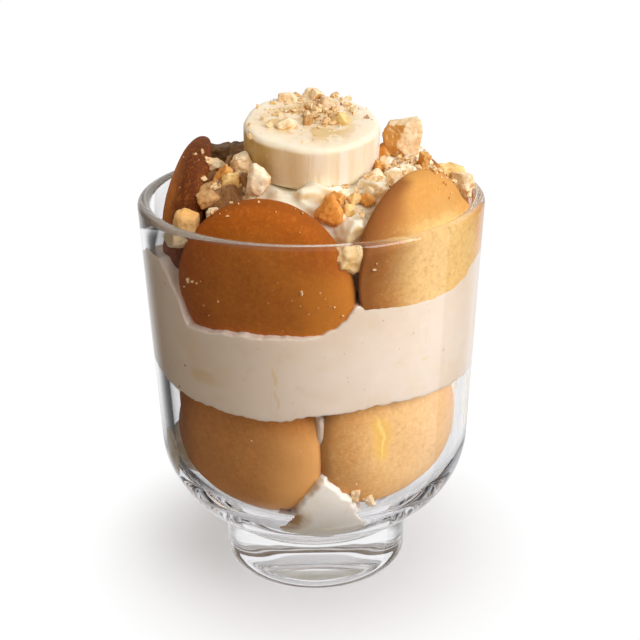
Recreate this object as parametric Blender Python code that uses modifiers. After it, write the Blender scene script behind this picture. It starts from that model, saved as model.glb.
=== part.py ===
"""Banana pudding served in a footed glass.

A clear tumbler on a short solid foot holds, from the bottom up, a core of pudding,
a ring of vanilla wafers stood on edge, a band of pudding pressed to the wall, a second
ring of wafers and a mound of cream with a slice of banana and broken wafers on top.
Metres, +Z up, origin on the table under the middle of the foot.
"""
import math
import random

import bmesh
import bpy
from mathutils import Vector, noise

MM = 0.001
GAP = 0.3 * MM

# Glass
GLASS_HEIGHT = 96.8 * MM
RIM_RADIUS = 41.0 * MM
WALL = 3.0 * MM
TAPER = 0.0378
BOWL_TURN_Z = 37.6 * MM
BOWL_END_RADIUS = 18.16 * MM
BOWL_END_Z = 12.6 * MM
FLOOR_Z = 17.2 * MM
FLOOR_RADIUS = 15.0 * MM
FOOT_RADIUS = 23.3 * MM
FOOT_TOP_Z = 14.3 * MM
FOOT_EDGE = 1.5 * MM
PUNT_RADIUS = 17.2 * MM
PUNT_DEPTH = 3.0 * MM
BOWL_POWER_R = 1.49
BOWL_POWER_Z = 0.866

# Vanilla wafers
WAFER_DOME = 7.0 * MM
WAFER_BACK = 2.8 * MM

# Pudding
BASE_TOP_Z = 54.6 * MM
BAND_LOW_Z = 55.2 * MM
BAND_TOP_Z = 81.6 * MM
CREAM_LOW_Z = 82.0 * MM
CREAM_TOP_Z = 102.6 * MM

# Banana slice
BANANA_RADIUS = 15.3 * MM
BANANA_THICK = 10.6 * MM
BANANA_TILT = math.radians(11.5)
BANANA_PLACE = Vector((0.2 * MM, -3.6 * MM, 109.7 * MM))

GLASS_STEPS = 48
FOOD_STEPS = 32
WAFER_STEPS = 22


def clear_scene():
    for obj in list(bpy.data.objects):
        bpy.data.objects.remove(obj, do_unlink=True)
    for group in list(bpy.data.collections):
        bpy.data.collections.remove(group)


def new_collection(name):
    group = bpy.data.collections.new(name)
    bpy.context.scene.collection.children.link(group)
    return group


def material(name, colour, roughness, transmission=0.0):
    mat = bpy.data.materials.new(name)
    mat.use_nodes = True
    shader = mat.node_tree.nodes["Principled BSDF"]
    shader.inputs["Base Color"].default_value = (*colour, 1.0)
    shader.inputs["Roughness"].default_value = roughness
    shader.inputs["Metallic"].default_value = 0.0
    shader.inputs["Transmission Weight"].default_value = transmission
    shader.inputs["IOR"].default_value = 1.5
    return mat


def turned(name, profile, steps, group, mat):
    """A profile in the XZ plane, given from top to bottom down its outer side, turned about Z."""
    mesh = bpy.data.meshes.new(name)
    edges = [(i, i + 1) for i in range(len(profile) - 1)]
    mesh.from_pydata([(r, 0.0, z) for r, z in profile], edges, [])
    obj = bpy.data.objects.new(name, mesh)
    group.objects.link(obj)
    mesh.materials.append(mat)
    screw = obj.modifiers.new("Turn", "SCREW")
    screw.axis = "Z"
    screw.angle = 2 * math.pi
    screw.steps = steps
    screw.render_steps = steps
    screw.use_merge_vertices = True
    screw.merge_threshold = 0.00001
    screw.use_smooth_shade = True
    return obj


def realise(obj):
    """Replaces an object's mesh by the one that its modifiers make."""
    bpy.context.view_layer.update()
    graph = bpy.context.evaluated_depsgraph_get()
    mesh = bpy.data.meshes.new_from_object(obj.evaluated_get(graph))
    obj.modifiers.clear()
    obj.data = mesh
    return obj


def keep_largest(obj):
    """Drops the crumbs of a cut, so that the object is one body."""
    bm = bmesh.new()
    bm.from_mesh(obj.data)
    left = set(bm.verts)
    islands = []
    while left:
        front = [left.pop()]
        island = set(front)
        while front:
            vert = front.pop()
            for edge in vert.link_edges:
                other = edge.other_vert(vert)
                if other in left:
                    left.remove(other)
                    island.add(other)
                    front.append(other)
        islands.append(island)
    islands.sort(key=len)
    for island in islands[:-1]:
        bmesh.ops.delete(bm, geom=list(island), context="VERTS")
    bm.to_mesh(obj.data)
    bm.free()


def combine(obj, group, operation):
    """Joins a collection to the object, or cuts it out, and applies it."""
    step = obj.modifiers.new(operation.title(), "BOOLEAN")
    step.operation = operation
    step.operand_type = "COLLECTION"
    step.collection = group
    realise(obj)
    keep_largest(obj)


def smooth(obj, angle=50):
    obj.data.shade_smooth()
    obj.data.set_sharp_from_angle(angle=math.radians(angle))


def outer_radius(z):
    """Radius of the glass's outer wall at height z, down to the foot."""
    if z >= BOWL_TURN_Z:
        return RIM_RADIUS - TAPER * (GLASS_HEIGHT - z)
    turn_radius = RIM_RADIUS - TAPER * (GLASS_HEIGHT - BOWL_TURN_Z)
    drop = min(1.0, (BOWL_TURN_Z - z) / (BOWL_TURN_Z - BOWL_END_Z))
    angle = math.asin(drop ** (1 / BOWL_POWER_Z))
    return BOWL_END_RADIUS + (turn_radius - BOWL_END_RADIUS) * math.cos(angle) ** BOWL_POWER_R


def inner_radius(z):
    """Radius of the glass's inner wall at height z, down to its floor."""
    if z >= BOWL_TURN_Z:
        return RIM_RADIUS - WALL - TAPER * (GLASS_HEIGHT - z)
    turn_radius = RIM_RADIUS - WALL - TAPER * (GLASS_HEIGHT - BOWL_TURN_Z)
    drop = min(1.0, (BOWL_TURN_Z - z) / (BOWL_TURN_Z - FLOOR_Z))
    angle = math.asin(drop ** (1 / BOWL_POWER_Z))
    return FLOOR_RADIUS + (turn_radius - FLOOR_RADIUS) * math.cos(angle) ** BOWL_POWER_R


def arc(centre, radius, start, end, count):
    """Points of a circular arc, both ends included, with angles in degrees."""
    points = []
    for i in range(count + 1):
        angle = math.radians(start + (end - start) * i / count)
        points.append((centre[0] + radius * math.cos(angle), centre[1] + radius * math.sin(angle)))
    return points


def glass_profile():
    """Floor, inner wall, lip, outer wall, foot and the hollow under it."""
    points = [(0.0, FLOOR_Z - 0.2 * MM), (0.6 * FLOOR_RADIUS, FLOOR_Z - 0.1 * MM)]
    for i in range(1, 8):
        share = math.sin(math.pi / 2 * (1 - i / 7))
        z = BOWL_TURN_Z - (BOWL_TURN_Z - FLOOR_Z) * share**BOWL_POWER_Z
        points.append((inner_radius(z), z))
    points.append((inner_radius(66 * MM), 66 * MM))
    lip = 1.4 * MM
    lip_z = GLASS_HEIGHT - lip
    points += arc((inner_radius(lip_z) + lip, lip_z), lip, 180, 90, 2)
    points += arc((outer_radius(lip_z) - lip, lip_z), lip, 90, 0, 2)
    points.append((outer_radius(66 * MM), 66 * MM))
    for i in range(0, 7):
        share = math.sin(math.pi / 2 * i / 7)
        z = BOWL_TURN_Z - (BOWL_TURN_Z - BOWL_END_Z) * share**BOWL_POWER_Z
        if outer_radius(z) < FOOT_RADIUS + 0.9 * MM:
            break
        points.append((outer_radius(z), z))
    points.append((FOOT_RADIUS + 0.2 * MM, FOOT_TOP_Z - 0.3 * MM))
    points.append((FOOT_RADIUS - 0.3 * MM, FOOT_TOP_Z - 1.6 * MM))
    points.append((FOOT_RADIUS, FOOT_EDGE + 4 * MM))
    points += arc((FOOT_RADIUS - FOOT_EDGE, FOOT_EDGE), FOOT_EDGE, 0, -90, 2)
    for i in range(5):
        share = 1 - i / 4
        points.append((PUNT_RADIUS * share, PUNT_DEPTH * (1 - share * share)))
    return points


def wafer(name, radius, seed, group, mat, grow=0.0, steps=WAFER_STEPS, rings=6):
    """A baked wafer: a wide dome on a flat back with a round edge, dome towards +Z."""
    dome = WAFER_DOME + grow
    back = WAFER_BACK + grow
    wide = radius + grow
    points = []
    for i in range(rings + 1):
        angle = math.pi / 2 * (1 - i / rings)
        points.append((wide * math.cos(angle), dome * math.sin(angle)))
    for i in range(1, 4):
        angle = -math.pi / 2 * i / 3
        points.append((wide * max(0.0, math.cos(angle)) ** 0.42, -back * abs(math.sin(angle)) ** 0.8))
    points[0] = (0.0, dome)
    points[-1] = (0.0, -back)
    obj = realise(turned(name, points, steps, group, mat))
    pick = random.Random(seed)
    turns = [pick.uniform(0, 2 * math.pi) for _ in range(3)]
    offset = Vector([pick.uniform(0, 50) for _ in range(3)])
    for vert in obj.data.vertices:
        x, y, z = vert.co
        around = math.atan2(y, x)
        share = math.hypot(x, y) / wide
        stretch = 1 + share * (
            0.010 * math.cos(2 * around + turns[0])
            + 0.006 * math.cos(3 * around + turns[1])
            + 0.004 * math.cos(5 * around + turns[2])
        )
        swell = 0.35 * MM * noise.noise(Vector((x, y, 0)) / (9 * MM) + offset)
        vert.co = (x * stretch, y * stretch, z + swell * (z / dome if z > 0 else 0.3))
    smooth(obj)
    return obj


def stand(obj, azimuth, height, lean, inset, turn=0.0):
    """Stands a wafer on edge against the wall, dome outwards. Azimuth 0 is the front."""
    out = math.radians(azimuth)
    r = inner_radius(height) - WAFER_DOME - inset
    obj.location = (r * math.sin(out), -r * math.cos(out), height)
    obj.rotation_euler = (math.radians(90 + lean), 0.0, out + math.radians(turn))


def lump(name, place, size, seed, group, mat, rough=0.18, level=2, angles=(0, 0, 0)):
    """An uneven rounded lump: an icosphere pushed about by seeded noise."""
    bm = bmesh.new()
    bmesh.ops.create_icosphere(bm, subdivisions=level, radius=1.0)
    offset = Vector((seed * 3.7, seed * 1.9, seed * 0.6))
    for vert in bm.verts:
        vert.co *= 1 + rough * noise.noise(vert.co * 1.6 + offset)
        vert.co = Vector([c * s / 2 * MM for c, s in zip(vert.co, size)])
    mesh = bpy.data.meshes.new(name)
    bm.to_mesh(mesh)
    bm.free()
    obj = bpy.data.objects.new(name, mesh)
    mesh.materials.append(mat)
    group.objects.link(obj)
    obj.location = Vector(place) * MM
    obj.rotation_euler = [math.radians(a) for a in angles]
    return obj


def broken(name, place, size, seed, group, mat, angles=(0, 0, 0), grow=0.0, cuts=7):
    """A broken bit of wafer: a block whose corners are sliced off along seeded planes."""
    pick = random.Random(seed)
    bm = bmesh.new()
    bmesh.ops.create_cube(bm, size=1.0)
    for _ in range(cuts):
        normal = Vector([pick.gauss(0, 1) for _ in range(3)]).normalized()
        geometry = list(bm.verts) + list(bm.edges) + list(bm.faces)
        cut = bmesh.ops.bisect_plane(
            bm,
            geom=geometry,
            plane_co=normal * pick.uniform(0.46, 0.60),
            plane_no=normal,
            clear_outer=True,
        )
        rim = [e for e in cut["geom_cut"] if isinstance(e, bmesh.types.BMEdge)]
        if rim:
            bmesh.ops.contextual_create(bm, geom=rim)
    bmesh.ops.remove_doubles(bm, verts=bm.verts, dist=0.02)
    bmesh.ops.recalc_face_normals(bm, faces=bm.faces)
    low = [min(v.co[i] for v in bm.verts) for i in range(3)]
    high = [max(v.co[i] for v in bm.verts) for i in range(3)]
    for vert in bm.verts:
        vert.co = Vector(
            [
                ((vert.co[i] - low[i]) / (high[i] - low[i]) - 0.5) * (size[i] * MM + 2 * grow)
                for i in range(3)
            ]
        )
    bmesh.ops.triangulate(bm, faces=bm.faces)
    mesh = bpy.data.meshes.new(name)
    bm.to_mesh(mesh)
    bm.free()
    obj = bpy.data.objects.new(name, mesh)
    mesh.materials.append(mat)
    group.objects.link(obj)
    obj.location = Vector(place) * MM
    obj.rotation_euler = [math.radians(a) for a in angles]
    return obj


def keep_inside(obj, clear):
    """Presses a bit that lies against the glass flat to the wall, that far from it."""
    bpy.context.view_layer.update()
    to_world = obj.matrix_world.copy()
    back = to_world.inverted()
    for vert in obj.data.vertices:
        x, y, z = to_world @ vert.co
        r = math.hypot(x, y)
        limit = inner_radius(min(z, GLASS_HEIGHT)) - clear
        if z < GLASS_HEIGHT + 1 * MM and r > limit:
            vert.co = back @ Vector((x / r * limit, y / r * limit, z))


def banana(name, group, mat, grow=0.0):
    """A thick cut slice of banana: a short round with a soft edge and a faint five-sided outline."""
    r = BANANA_RADIUS + grow
    h = BANANA_THICK / 2 + grow
    edge = 0.8 * MM
    points = [(0.0, h), (r * 0.5, h)]
    points += arc((r - edge, h - edge), edge, 90, 0, 3)
    points += arc((r - edge, edge - h), edge, 0, -90, 3)
    points += [(r * 0.5, -h), (0.0, -h)]
    obj = realise(turned(name, points, 30, group, mat))
    for vert in obj.data.vertices:
        x, y, z = vert.co
        around = math.atan2(y, x)
        stretch = 1 + 0.012 * math.cos(2 * around + 0.4) + 0.008 * math.cos(5 * around + 1.0)
        vert.co = (x * stretch, y * stretch, z)
    obj.location = BANANA_PLACE
    obj.rotation_euler = (BANANA_TILT, math.radians(1.5), 0.0)
    smooth(obj)
    return obj


def hide(group):
    for obj in group.objects:
        obj.hide_render = True
        obj.display_type = "WIRE"


def remove_all(group):
    for obj in list(group.objects):
        bpy.data.objects.remove(obj, do_unlink=True)
    bpy.data.collections.remove(group)


def azimuth_of(x, y):
    """Angle in degrees from the front, positive to the right."""
    return math.degrees(math.atan2(x, -y))


def between(value, centre, width):
    """A smooth bump of height 1 at the centre, in degrees, gone at the width."""
    far = abs((value - centre + 180) % 360 - 180) / width
    return math.cos(min(1.0, far) * math.pi / 2) ** 2


def band_low(azimuth):
    """Height of the pudding band's lower line on the wall."""
    wave = math.radians(azimuth)
    level = 55.4 + 1.2 * math.sin(wave) + 0.9 * math.cos(2 * wave + 1.2)
    level -= 1.6 * between(azimuth, -27, 24)
    level += 0.8 * between(azimuth, 45, 22)
    return level * MM


def band_top(azimuth):
    """Height of the pudding band's upper line on the wall."""
    wave = math.radians(azimuth)
    level = 78.6 + 2.6 * math.sin(wave) + 0.6 * math.cos(3 * wave)
    level -= 4.4 * between(azimuth, -16, 32)
    level += 5.0 * between(azimuth, 15, 8)
    level += 1.5 * between(azimuth, -53, 8)
    return level * MM


def pudding_band(group, mat):
    """A thick layer pressed to the wall, with a wavy upper and lower line."""
    wall = 1.0
    profile = [(0.0, 1.0), (0.45, 1.0), (0.74, 1.0), (0.88, 0.985), (wall, 1.0)]
    profile += [(wall, 1 - i / 3) for i in range(1, 4)]
    profile += [(0.88, 0.015), (0.74, 0.0), (0.45, 0.0), (0.0, 0.0)]
    obj = realise(turned("pudding_band", profile, 60, group, mat))
    for vert in obj.data.vertices:
        x, y, share = vert.co
        r = math.hypot(x, y)
        azimuth = azimuth_of(x, y)
        near_wall = max(0.0, min(1.0, (r - 0.74) / 0.26)) ** 0.7
        low = BAND_LOW_Z + (band_low(azimuth) - BAND_LOW_Z) * near_wall
        top = BAND_TOP_Z + (band_top(azimuth) - BAND_TOP_Z) * near_wall
        z = low + (top - low) * share
        reach = (inner_radius(z) - GAP) * r
        if 0.02 < share < 0.98 or r < 0.99:
            pull = 0.0
        else:
            pull = 0.5 * MM
        if r > 1e-6:
            x, y = x / r * (reach - pull), y / r * (reach - pull)
        vert.co = (x, y, z)
    return obj


def pudding_base(group, mat):
    """The core that the lower wafers stand in, with a tongue that meets the wall in front."""
    profile = [(0.0, 54.6), (20, 54.6), (27.5, 54.0), (31.0, 52), (32.0, 47), (32.0, 42), (31.4, 38)]
    profile += [(30.0, 34), (28.2, 30), (26, 26.4), (23, 22.6), (19.5, 20.0), (14, 18.2), (0, 17.9)]
    profile = [(r * MM, z * MM) for r, z in profile]
    obj = realise(turned("pudding_base", profile, 40, group, mat))
    for vert in obj.data.vertices:
        x, y, z = vert.co
        r = math.hypot(x, y)
        if r < 1e-6:
            continue
        azimuth = azimuth_of(x, y)
        push = 1.3 * MM * noise.noise(Vector((x, y, z)) / (8 * MM)) * min(1.0, r / (20 * MM))
        if z > 54 * MM:
            push = 0.0
        tongue = between(azimuth, 3, 15) * max(0.0, 1 - abs(z / MM - 28) / 15)
        limit = inner_radius(z) - GAP
        target = min(limit, r + push)
        target += (limit - target) * min(1.0, 1.6 * tongue)
        vert.co = (x / r * target, y / r * target, z)
    smooth(obj, 60)
    return obj


def cream_mound(group, mat):
    """The cream inside the upper wafers, heaped up to carry the banana."""
    profile = [(0.0, 102.6), (9, 102.5), (15, 102.3), (20, 101.4), (24, 99.6), (27, 97.0)]
    profile += [(29.3, 93.5), (30.6, 89.5), (31, 85.5), (30.4, 82.6), (27, 82.0), (16, 82.0), (0.0, 82.0)]
    profile = [(r * MM, z * MM) for r, z in profile]
    obj = realise(turned("cream_top", profile, FOOD_STEPS, group, mat))
    for vert in obj.data.vertices:
        x, y, z = vert.co
        if z < 84 * MM:
            continue
        push = noise.noise(Vector((x, y, z)) / (6.5 * MM) + Vector((4.1, 0.3, 7.7)))
        outward = Vector((x, y, 0)) / (30 * MM) * 0.8
        vert.co += (outward + Vector((0, 0, 0.8))) * push * 1.3 * MM
    return obj


UPPER = (
    (-19.6, 83.0, 2.4, 20.3, 1.2, -1.0),
    (49.2, 86.7, 2.2, 20.0, 0.9, 0.0),
    (122.0, 83.9, 1.0, 19.0, 1.6, 3.0),
    (203.0, 84.2, -2.0, 19.2, 1.8, -3.0),
    (-89.2, 90.6, -11.0, 19.7, 2.4, 2.0),
)
LOWER = (
    (-32.4, 44.4, -3.0, 18.9, 1.6, 0.0),
    (38.4, 45.7, 0.0, 19.5, 1.5, 0.0),
    (109.0, 45.4, 0.0, 18.7, 1.9, 2.0),
    (181.0, 45.2, 0.0, 18.8, 2.1, -2.0),
    (-106.0, 45.6, 0.0, 18.7, 2.0, 3.0),
)
CHUNKS = (
    ("chunk_right", (21.5, -2.2, 110.2), (8.2, 6.4, 8.2), 11, (8, -10, 12)),
    ("chunk_rim_left", (-27.2, -21.6, 95.0), (6.4, 4.6, 8.4), 23, (0, 14, 38)),
    ("chunk_notch", (7.5, -34.2, 91.4), (7.2, 3.4, 6.0), 31, (0, 0, 12)),
    ("chunk_orange", (3.4, -26.2, 99.9), (6.0, 3.8, 7.0), 47, (0, 38, 8)),
    ("chunk_white", (-13.0, -19.6, 105.0), (5.2, 5.0, 7.6), 53, (10, 8, 20)),
)
LUMPS = (
    ((19.6, -6.0, 101.6), (12, 13, 9.5)),
    ((14.6, -15.6, 99.8), (10, 9, 8)),
    ((22.6, 2.6, 101.0), (11, 12, 9)),
    ((8.8, -27.2, 94.6), (8.4, 7, 9.4)),
    ((-17.6, -14.6, 99.4), (11, 10, 8.5)),
    ((-20.6, -4.0, 100.4), (9, 12, 9)),
    ((2.0, -18.8, 100.2), (14, 7, 7)),
    ((-4.0, 17.6, 101.0), (20, 10, 8)),
    ((-20.0, 12.0, 99.6), (12, 12, 8.4)),
    ((30.4, -1.2, 93.6), (9, 9, 13)),
)
BITS = (
    ((-17.6, -18.4, 103.6), (4.0, 3.2, 5.6)),
    ((-19.6, -14.4, 104.6), (3.0, 2.6, 4.4)),
    ((-15.6, -10.8, 105.8), (4.6, 3.8, 4.4)),
    ((-21.6, -7.0, 106.2), (3.2, 3.4, 5.0)),
    ((-21.4, -12.0, 103.2), (3.2, 3.0, 5.2)),
    ((-21.0, -21.0, 100.6), (5.6, 4.2, 4.4)),
    ((24.6, -4.4, 103.2), (3.2, 4.0, 6.4)),
    ((24.8, -10.6, 101.0), (6.2, 4.4, 3.6)),
    ((10.6, -26.2, 98.2), (1.6, 1.8, 5.0)),
    ((4.8, -22.4, 101.6), (4.2, 3.4, 3.6)),
    ((14.4, -13.6, 103.6), (3.2, 3.0, 3.0)),
    ((32.6, 0.2, 101.0), (5.2, 4.2, 4.4)),
    ((35.2, -2.4, 98.4), (4.6, 4.4, 4.8)),
)
BANANA_BITS = (
    ((-5.6, 5.6, 116.8), (5.0, 4.2, 3.6)),
    ((1.8, 6.6, 117.0), (5.2, 4.0, 5.0)),
    ((-5.5, -7.2, 114.0), (4.0, 3.6, 4.6)),
    ((6.8, -5.0, 114.0), (4.2, 3.6, 3.4)),
    ((1.0, 0.2, 115.0), (6.0, 5.0, 2.6)),
    ((-0.6, -5.2, 114.0), (5.0, 3.2, 2.2)),
    ((12.0, -1.6, 114.2), (3.0, 2.8, 3.4)),
)


def main():
    clear_scene()
    parts = new_collection("banana_pudding_glass")
    cutters = new_collection("cutters")

    clear = material("clear_glass", (0.95, 0.97, 0.97), 0.02, transmission=1.0)
    cream = material("cream", (0.86, 0.78, 0.62), 0.45)
    custard = material("pudding", (0.83, 0.70, 0.52), 0.4)
    baked = material("baked_wafer", (0.62, 0.30, 0.09), 0.6)
    pale = material("pale_crumb", (0.80, 0.62, 0.34), 0.7)
    fruit = material("banana", (0.86, 0.74, 0.47), 0.4)

    glass = realise(turned("glass", glass_profile(), GLASS_STEPS, parts, clear))
    smooth(glass, 40)

    for ring, rows in (("upper", UPPER), ("lower", LOWER)):
        for i, (azimuth, height, lean, radius, inset, turn) in enumerate(rows, 1):
            seed = i + (10 if ring == "upper" else 20)
            for name, group, grow in ((f"wafer_{ring}_{i}", parts, 0.0), (f"cut_{ring}_{i}", cutters, GAP)):
                obj = wafer(name, radius * MM, seed, group, baked, grow)
                stand(obj, azimuth, height * MM, lean, inset * MM, turn)

    slice_cutter = banana("cut_banana", cutters, fruit, GAP)
    hide(cutters)

    chunk_cutters = new_collection("chunk_cutters")
    for name, place, size, seed, angles in CHUNKS:
        chunk = broken(f"cut_{name}", place, size, seed, chunk_cutters, pale, angles, grow=GAP)
        keep_inside(chunk, 0.2 * GAP)
    hide(chunk_cutters)
    for name, place, size, seed, angles in CHUNKS:
        chunk = broken(name, place, size, seed, parts, pale, angles)
        keep_inside(chunk, GAP)
        combine(chunk, cutters, "DIFFERENCE")

    slice_bits = new_collection("slice_bits")
    for i, (place, size) in enumerate(BANANA_BITS):
        broken(f"slice_bit_{i}", place, size, 70 + i, slice_bits, pale, (i * 31, i * 17, i * 53))
    hide(slice_bits)
    fruit_slice = banana("banana_slice", parts, fruit)
    combine(fruit_slice, slice_bits, "UNION")
    remove_all(slice_bits)

    base = pudding_base(parts, custard)
    combine(base, cutters, "DIFFERENCE")
    band = pudding_band(parts, custard)
    combine(band, cutters, "DIFFERENCE")

    heap = new_collection("heap")
    for i, (place, size) in enumerate(LUMPS):
        lump(f"lump_{i}", place, size, i + 1, heap, cream, level=2 if max(size) > 12 else 1)
    for i, (place, size) in enumerate(BITS):
        broken(f"bit_{i}", place, size, 90 + i, heap, pale, (i * 23, i * 41, i * 37))
    for obj in heap.objects:
        keep_inside(obj, 2 * GAP)
    hide(heap)
    mound = cream_mound(parts, cream)
    combine(mound, heap, "UNION")
    combine(mound, cutters, "DIFFERENCE")
    combine(mound, chunk_cutters, "DIFFERENCE")
    remove_all(heap)
    smooth(mound, 60)
    slice_cutter.hide_viewport = False


main()
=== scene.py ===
"""Banana pudding in a footed glass: fine surfaces, materials, light and camera.

Lengths in the code are millimetres where a name ends in _mm or a point is written out,
and MM turns them into metres.
"""

import math
import random

import bmesh
import bpy
from mathutils import Matrix, Vector, noise
from mathutils.bvhtree import BVHTree


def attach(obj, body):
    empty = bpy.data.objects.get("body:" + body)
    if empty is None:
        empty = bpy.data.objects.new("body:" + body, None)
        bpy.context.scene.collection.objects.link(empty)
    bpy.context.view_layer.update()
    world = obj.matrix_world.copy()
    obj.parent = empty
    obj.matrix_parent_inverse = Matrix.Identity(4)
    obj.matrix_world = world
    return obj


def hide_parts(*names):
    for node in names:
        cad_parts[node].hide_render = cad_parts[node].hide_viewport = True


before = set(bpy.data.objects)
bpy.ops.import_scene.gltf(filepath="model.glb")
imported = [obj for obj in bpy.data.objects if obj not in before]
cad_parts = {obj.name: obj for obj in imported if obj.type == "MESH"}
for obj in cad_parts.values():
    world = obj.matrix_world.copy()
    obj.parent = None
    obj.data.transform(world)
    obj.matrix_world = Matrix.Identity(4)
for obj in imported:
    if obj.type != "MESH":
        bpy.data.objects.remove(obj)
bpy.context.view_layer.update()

MM = 0.001
TINY = 1e-6

# The same named sizes as the solids, in millimetres.
GLASS_HEIGHT = 96.8
RIM_RADIUS = 41.0
WALL = 3.0
TAPER = 0.0378
BOWL_TURN_Z = 37.6
BOWL_END_RADIUS = 18.16
BOWL_END_Z = 12.6
FLOOR_Z = 17.2
FLOOR_RADIUS = 15.0
FOOT_RADIUS = 23.3
FOOT_TOP_Z = 14.3
FOOT_EDGE = 1.5
PUNT_RADIUS = 17.2
PUNT_DEPTH = 3.0
BOWL_POWER_R = 1.49
BOWL_POWER_Z = 0.866
WAFER_DOME = 7.0
WAFER_BACK = 2.8
BAND_LOW_Z = 55.2
BAND_TOP_Z = 81.6
BANANA_RADIUS = 15.3
BANANA_THICK = 10.6
BANANA_TILT = math.radians(11.5)
BANANA_ROLL = math.radians(1.5)
BANANA_PLACE = (0.2, -3.6, 109.7)


# Shape helpers


def bowl_radius(z, rim, end_radius, end_z):
    """A wall that tapers down from the rim, then turns in to its end."""
    if z >= BOWL_TURN_Z:
        return rim - TAPER * (GLASS_HEIGHT - z)
    turn = rim - TAPER * (GLASS_HEIGHT - BOWL_TURN_Z)
    drop = min(1.0, (BOWL_TURN_Z - z) / (BOWL_TURN_Z - end_z))
    angle = math.asin(drop ** (1 / BOWL_POWER_Z))
    return end_radius + (turn - end_radius) * math.cos(angle) ** BOWL_POWER_R


def outer_radius(z):
    return bowl_radius(z, RIM_RADIUS, BOWL_END_RADIUS, BOWL_END_Z)


def inner_radius(z):
    return bowl_radius(z, RIM_RADIUS - WALL, FLOOR_RADIUS, FLOOR_Z)


def at_radius(x, y, z, radius):
    """A point in millimetres, moved straight in or out to a radius, in metres."""
    r = math.hypot(x, y)
    return Vector((x / r * radius, y / r * radius, z)) * MM


def arc(centre, radius, start, end, count):
    points = []
    for i in range(count + 1):
        angle = math.radians(start + (end - start) * i / count)
        points.append((centre[0] + radius * math.cos(angle), centre[1] + radius * math.sin(angle)))
    return points


def smoothstep(low, high, value):
    """0 at low and 1 at high, with low above high for a fall."""
    share = max(0.0, min(1.0, (value - low) / (high - low)))
    return share * share * (3 - 2 * share)


def between(value, centre, width):
    """1 at an azimuth and 0 from a width away on, in degrees."""
    far = abs((value - centre + 180) % 360 - 180) / width
    return math.cos(min(1.0, far) * math.pi / 2) ** 2


def along(rows, azimuth):
    """A value eased between the rows (azimuth, value) of a table that closes on itself."""
    azimuth = (azimuth + 180) % 360 - 180
    for (a, low), (b, high) in zip(rows, [*rows[1:], (rows[0][0] + 360, rows[0][1])]):
        if a <= azimuth < b:
            return low + (high - low) * smoothstep(a, b, azimuth)
    a, low = rows[-1][0] - 360, rows[-1][1]
    return low + (rows[0][1] - low) * smoothstep(a, rows[0][0], azimuth)


def azimuth_of(x, y):
    return math.degrees(math.atan2(x, -y))


def wiggle(point, size, seed=0.0):
    """Smooth noise of about -1 to 1 with features of the given size, in the same unit."""
    return noise.noise(Vector(point) / size + Vector((seed, seed * 0.37, seed * 1.71)))


def rough(point, size, seed=0.0):
    """Four layers of noise, each half as large and half as strong as the one before."""
    total, share = 0.0, 1.0
    for _ in range(4):
        total += share * wiggle(point, size, seed)
        size *= 0.5
        share *= 0.5
    return total


def new_object(name, mesh, mat, smooth=True):
    obj = bpy.data.objects.new(name, mesh)
    bpy.context.scene.collection.objects.link(obj)
    mesh.materials.append(mat)
    if smooth:
        mesh.shade_smooth()
    return obj


def ring_mesh(name, verts, rings):
    """Joins rings of vertex numbers, outer side down; the first and last may be one point."""
    faces = []
    for a, b in zip(rings, rings[1:]):
        steps = max(len(a), len(b))
        for j in range(steps):
            k = (j + 1) % steps
            if len(a) == 1:
                faces.append((a[0], b[j], b[k]))
            elif len(b) == 1:
                faces.append((a[j], b[0], a[k]))
            else:
                faces.append((a[j], b[j], b[k], a[k]))
    mesh = bpy.data.meshes.new(name)
    mesh.from_pydata(verts, [], faces)
    return mesh


def lathe_mesh(name, profile, steps):
    """Turns a profile of (r, z) in millimetres, top to bottom down its outer side, about Z."""
    verts, rings = [], []
    for r, z in profile:
        count = steps if r > TINY else 1
        rings.append(range(len(verts), len(verts) + count))
        for j in range(count):
            angle = 2 * math.pi * j / steps
            verts.append((r * math.cos(angle) * MM, r * math.sin(angle) * MM, z * MM))
    return ring_mesh(name, verts, rings)


def mesh_from(bm, name):
    mesh = bpy.data.meshes.new(name)
    bm.to_mesh(mesh)
    bm.free()
    return mesh


def wrap(bm, verts):
    """Turns loose vertices into their convex hull."""
    hull = bmesh.ops.convex_hull(bm, input=verts)
    loose = [v for v in hull["geom_interior"] if isinstance(v, bmesh.types.BMVert)]
    bmesh.ops.delete(bm, geom=loose, context="VERTS")


def resample(points, spacing):
    """Points along a polyline no further apart than the spacing, its corners kept."""
    out = [points[0]]
    for a, b in zip(points, points[1:]):
        count = max(1, math.ceil(math.dist(a, b) / spacing))
        for i in range(1, count + 1):
            out.append(tuple(p + (q - p) * i / count for p, q in zip(a, b)))
    return out


def spline(t, a, b, c, d):
    curve = (2 * a - 5 * b + 4 * c - d) * t * t + (3 * b - a - 3 * c + d) * t * t * t
    return 0.5 * (2 * b + (c - a) * t + curve)


def curve_through(points, per_span=5):
    """A smooth open curve through points of the plane."""
    ends = [points[0], *points, points[-1]]
    out = []
    for span in zip(ends, ends[1:], ends[2:], ends[3:]):
        for j in range(per_span):
            out.append(tuple(spline(j / per_span, *row) for row in zip(*span)))
    return [*out, points[-1]]


def realise(obj):
    """Applies an object's modifiers."""
    bpy.context.view_layer.update()
    graph = bpy.context.evaluated_depsgraph_get()
    mesh = bpy.data.meshes.new_from_object(obj.evaluated_get(graph))
    old = obj.data
    obj.modifiers.clear()
    obj.data = mesh
    bpy.data.meshes.remove(old)
    return obj


def bake(obj):
    """Puts the placing of a piece into its mesh, so its box is measured along the frame's axes."""
    bpy.context.view_layer.update()
    obj.data.transform(obj.matrix_world)
    obj.location = (0, 0, 0)
    obj.rotation_euler = (0, 0, 0)
    bpy.context.view_layer.update()
    return obj


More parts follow.
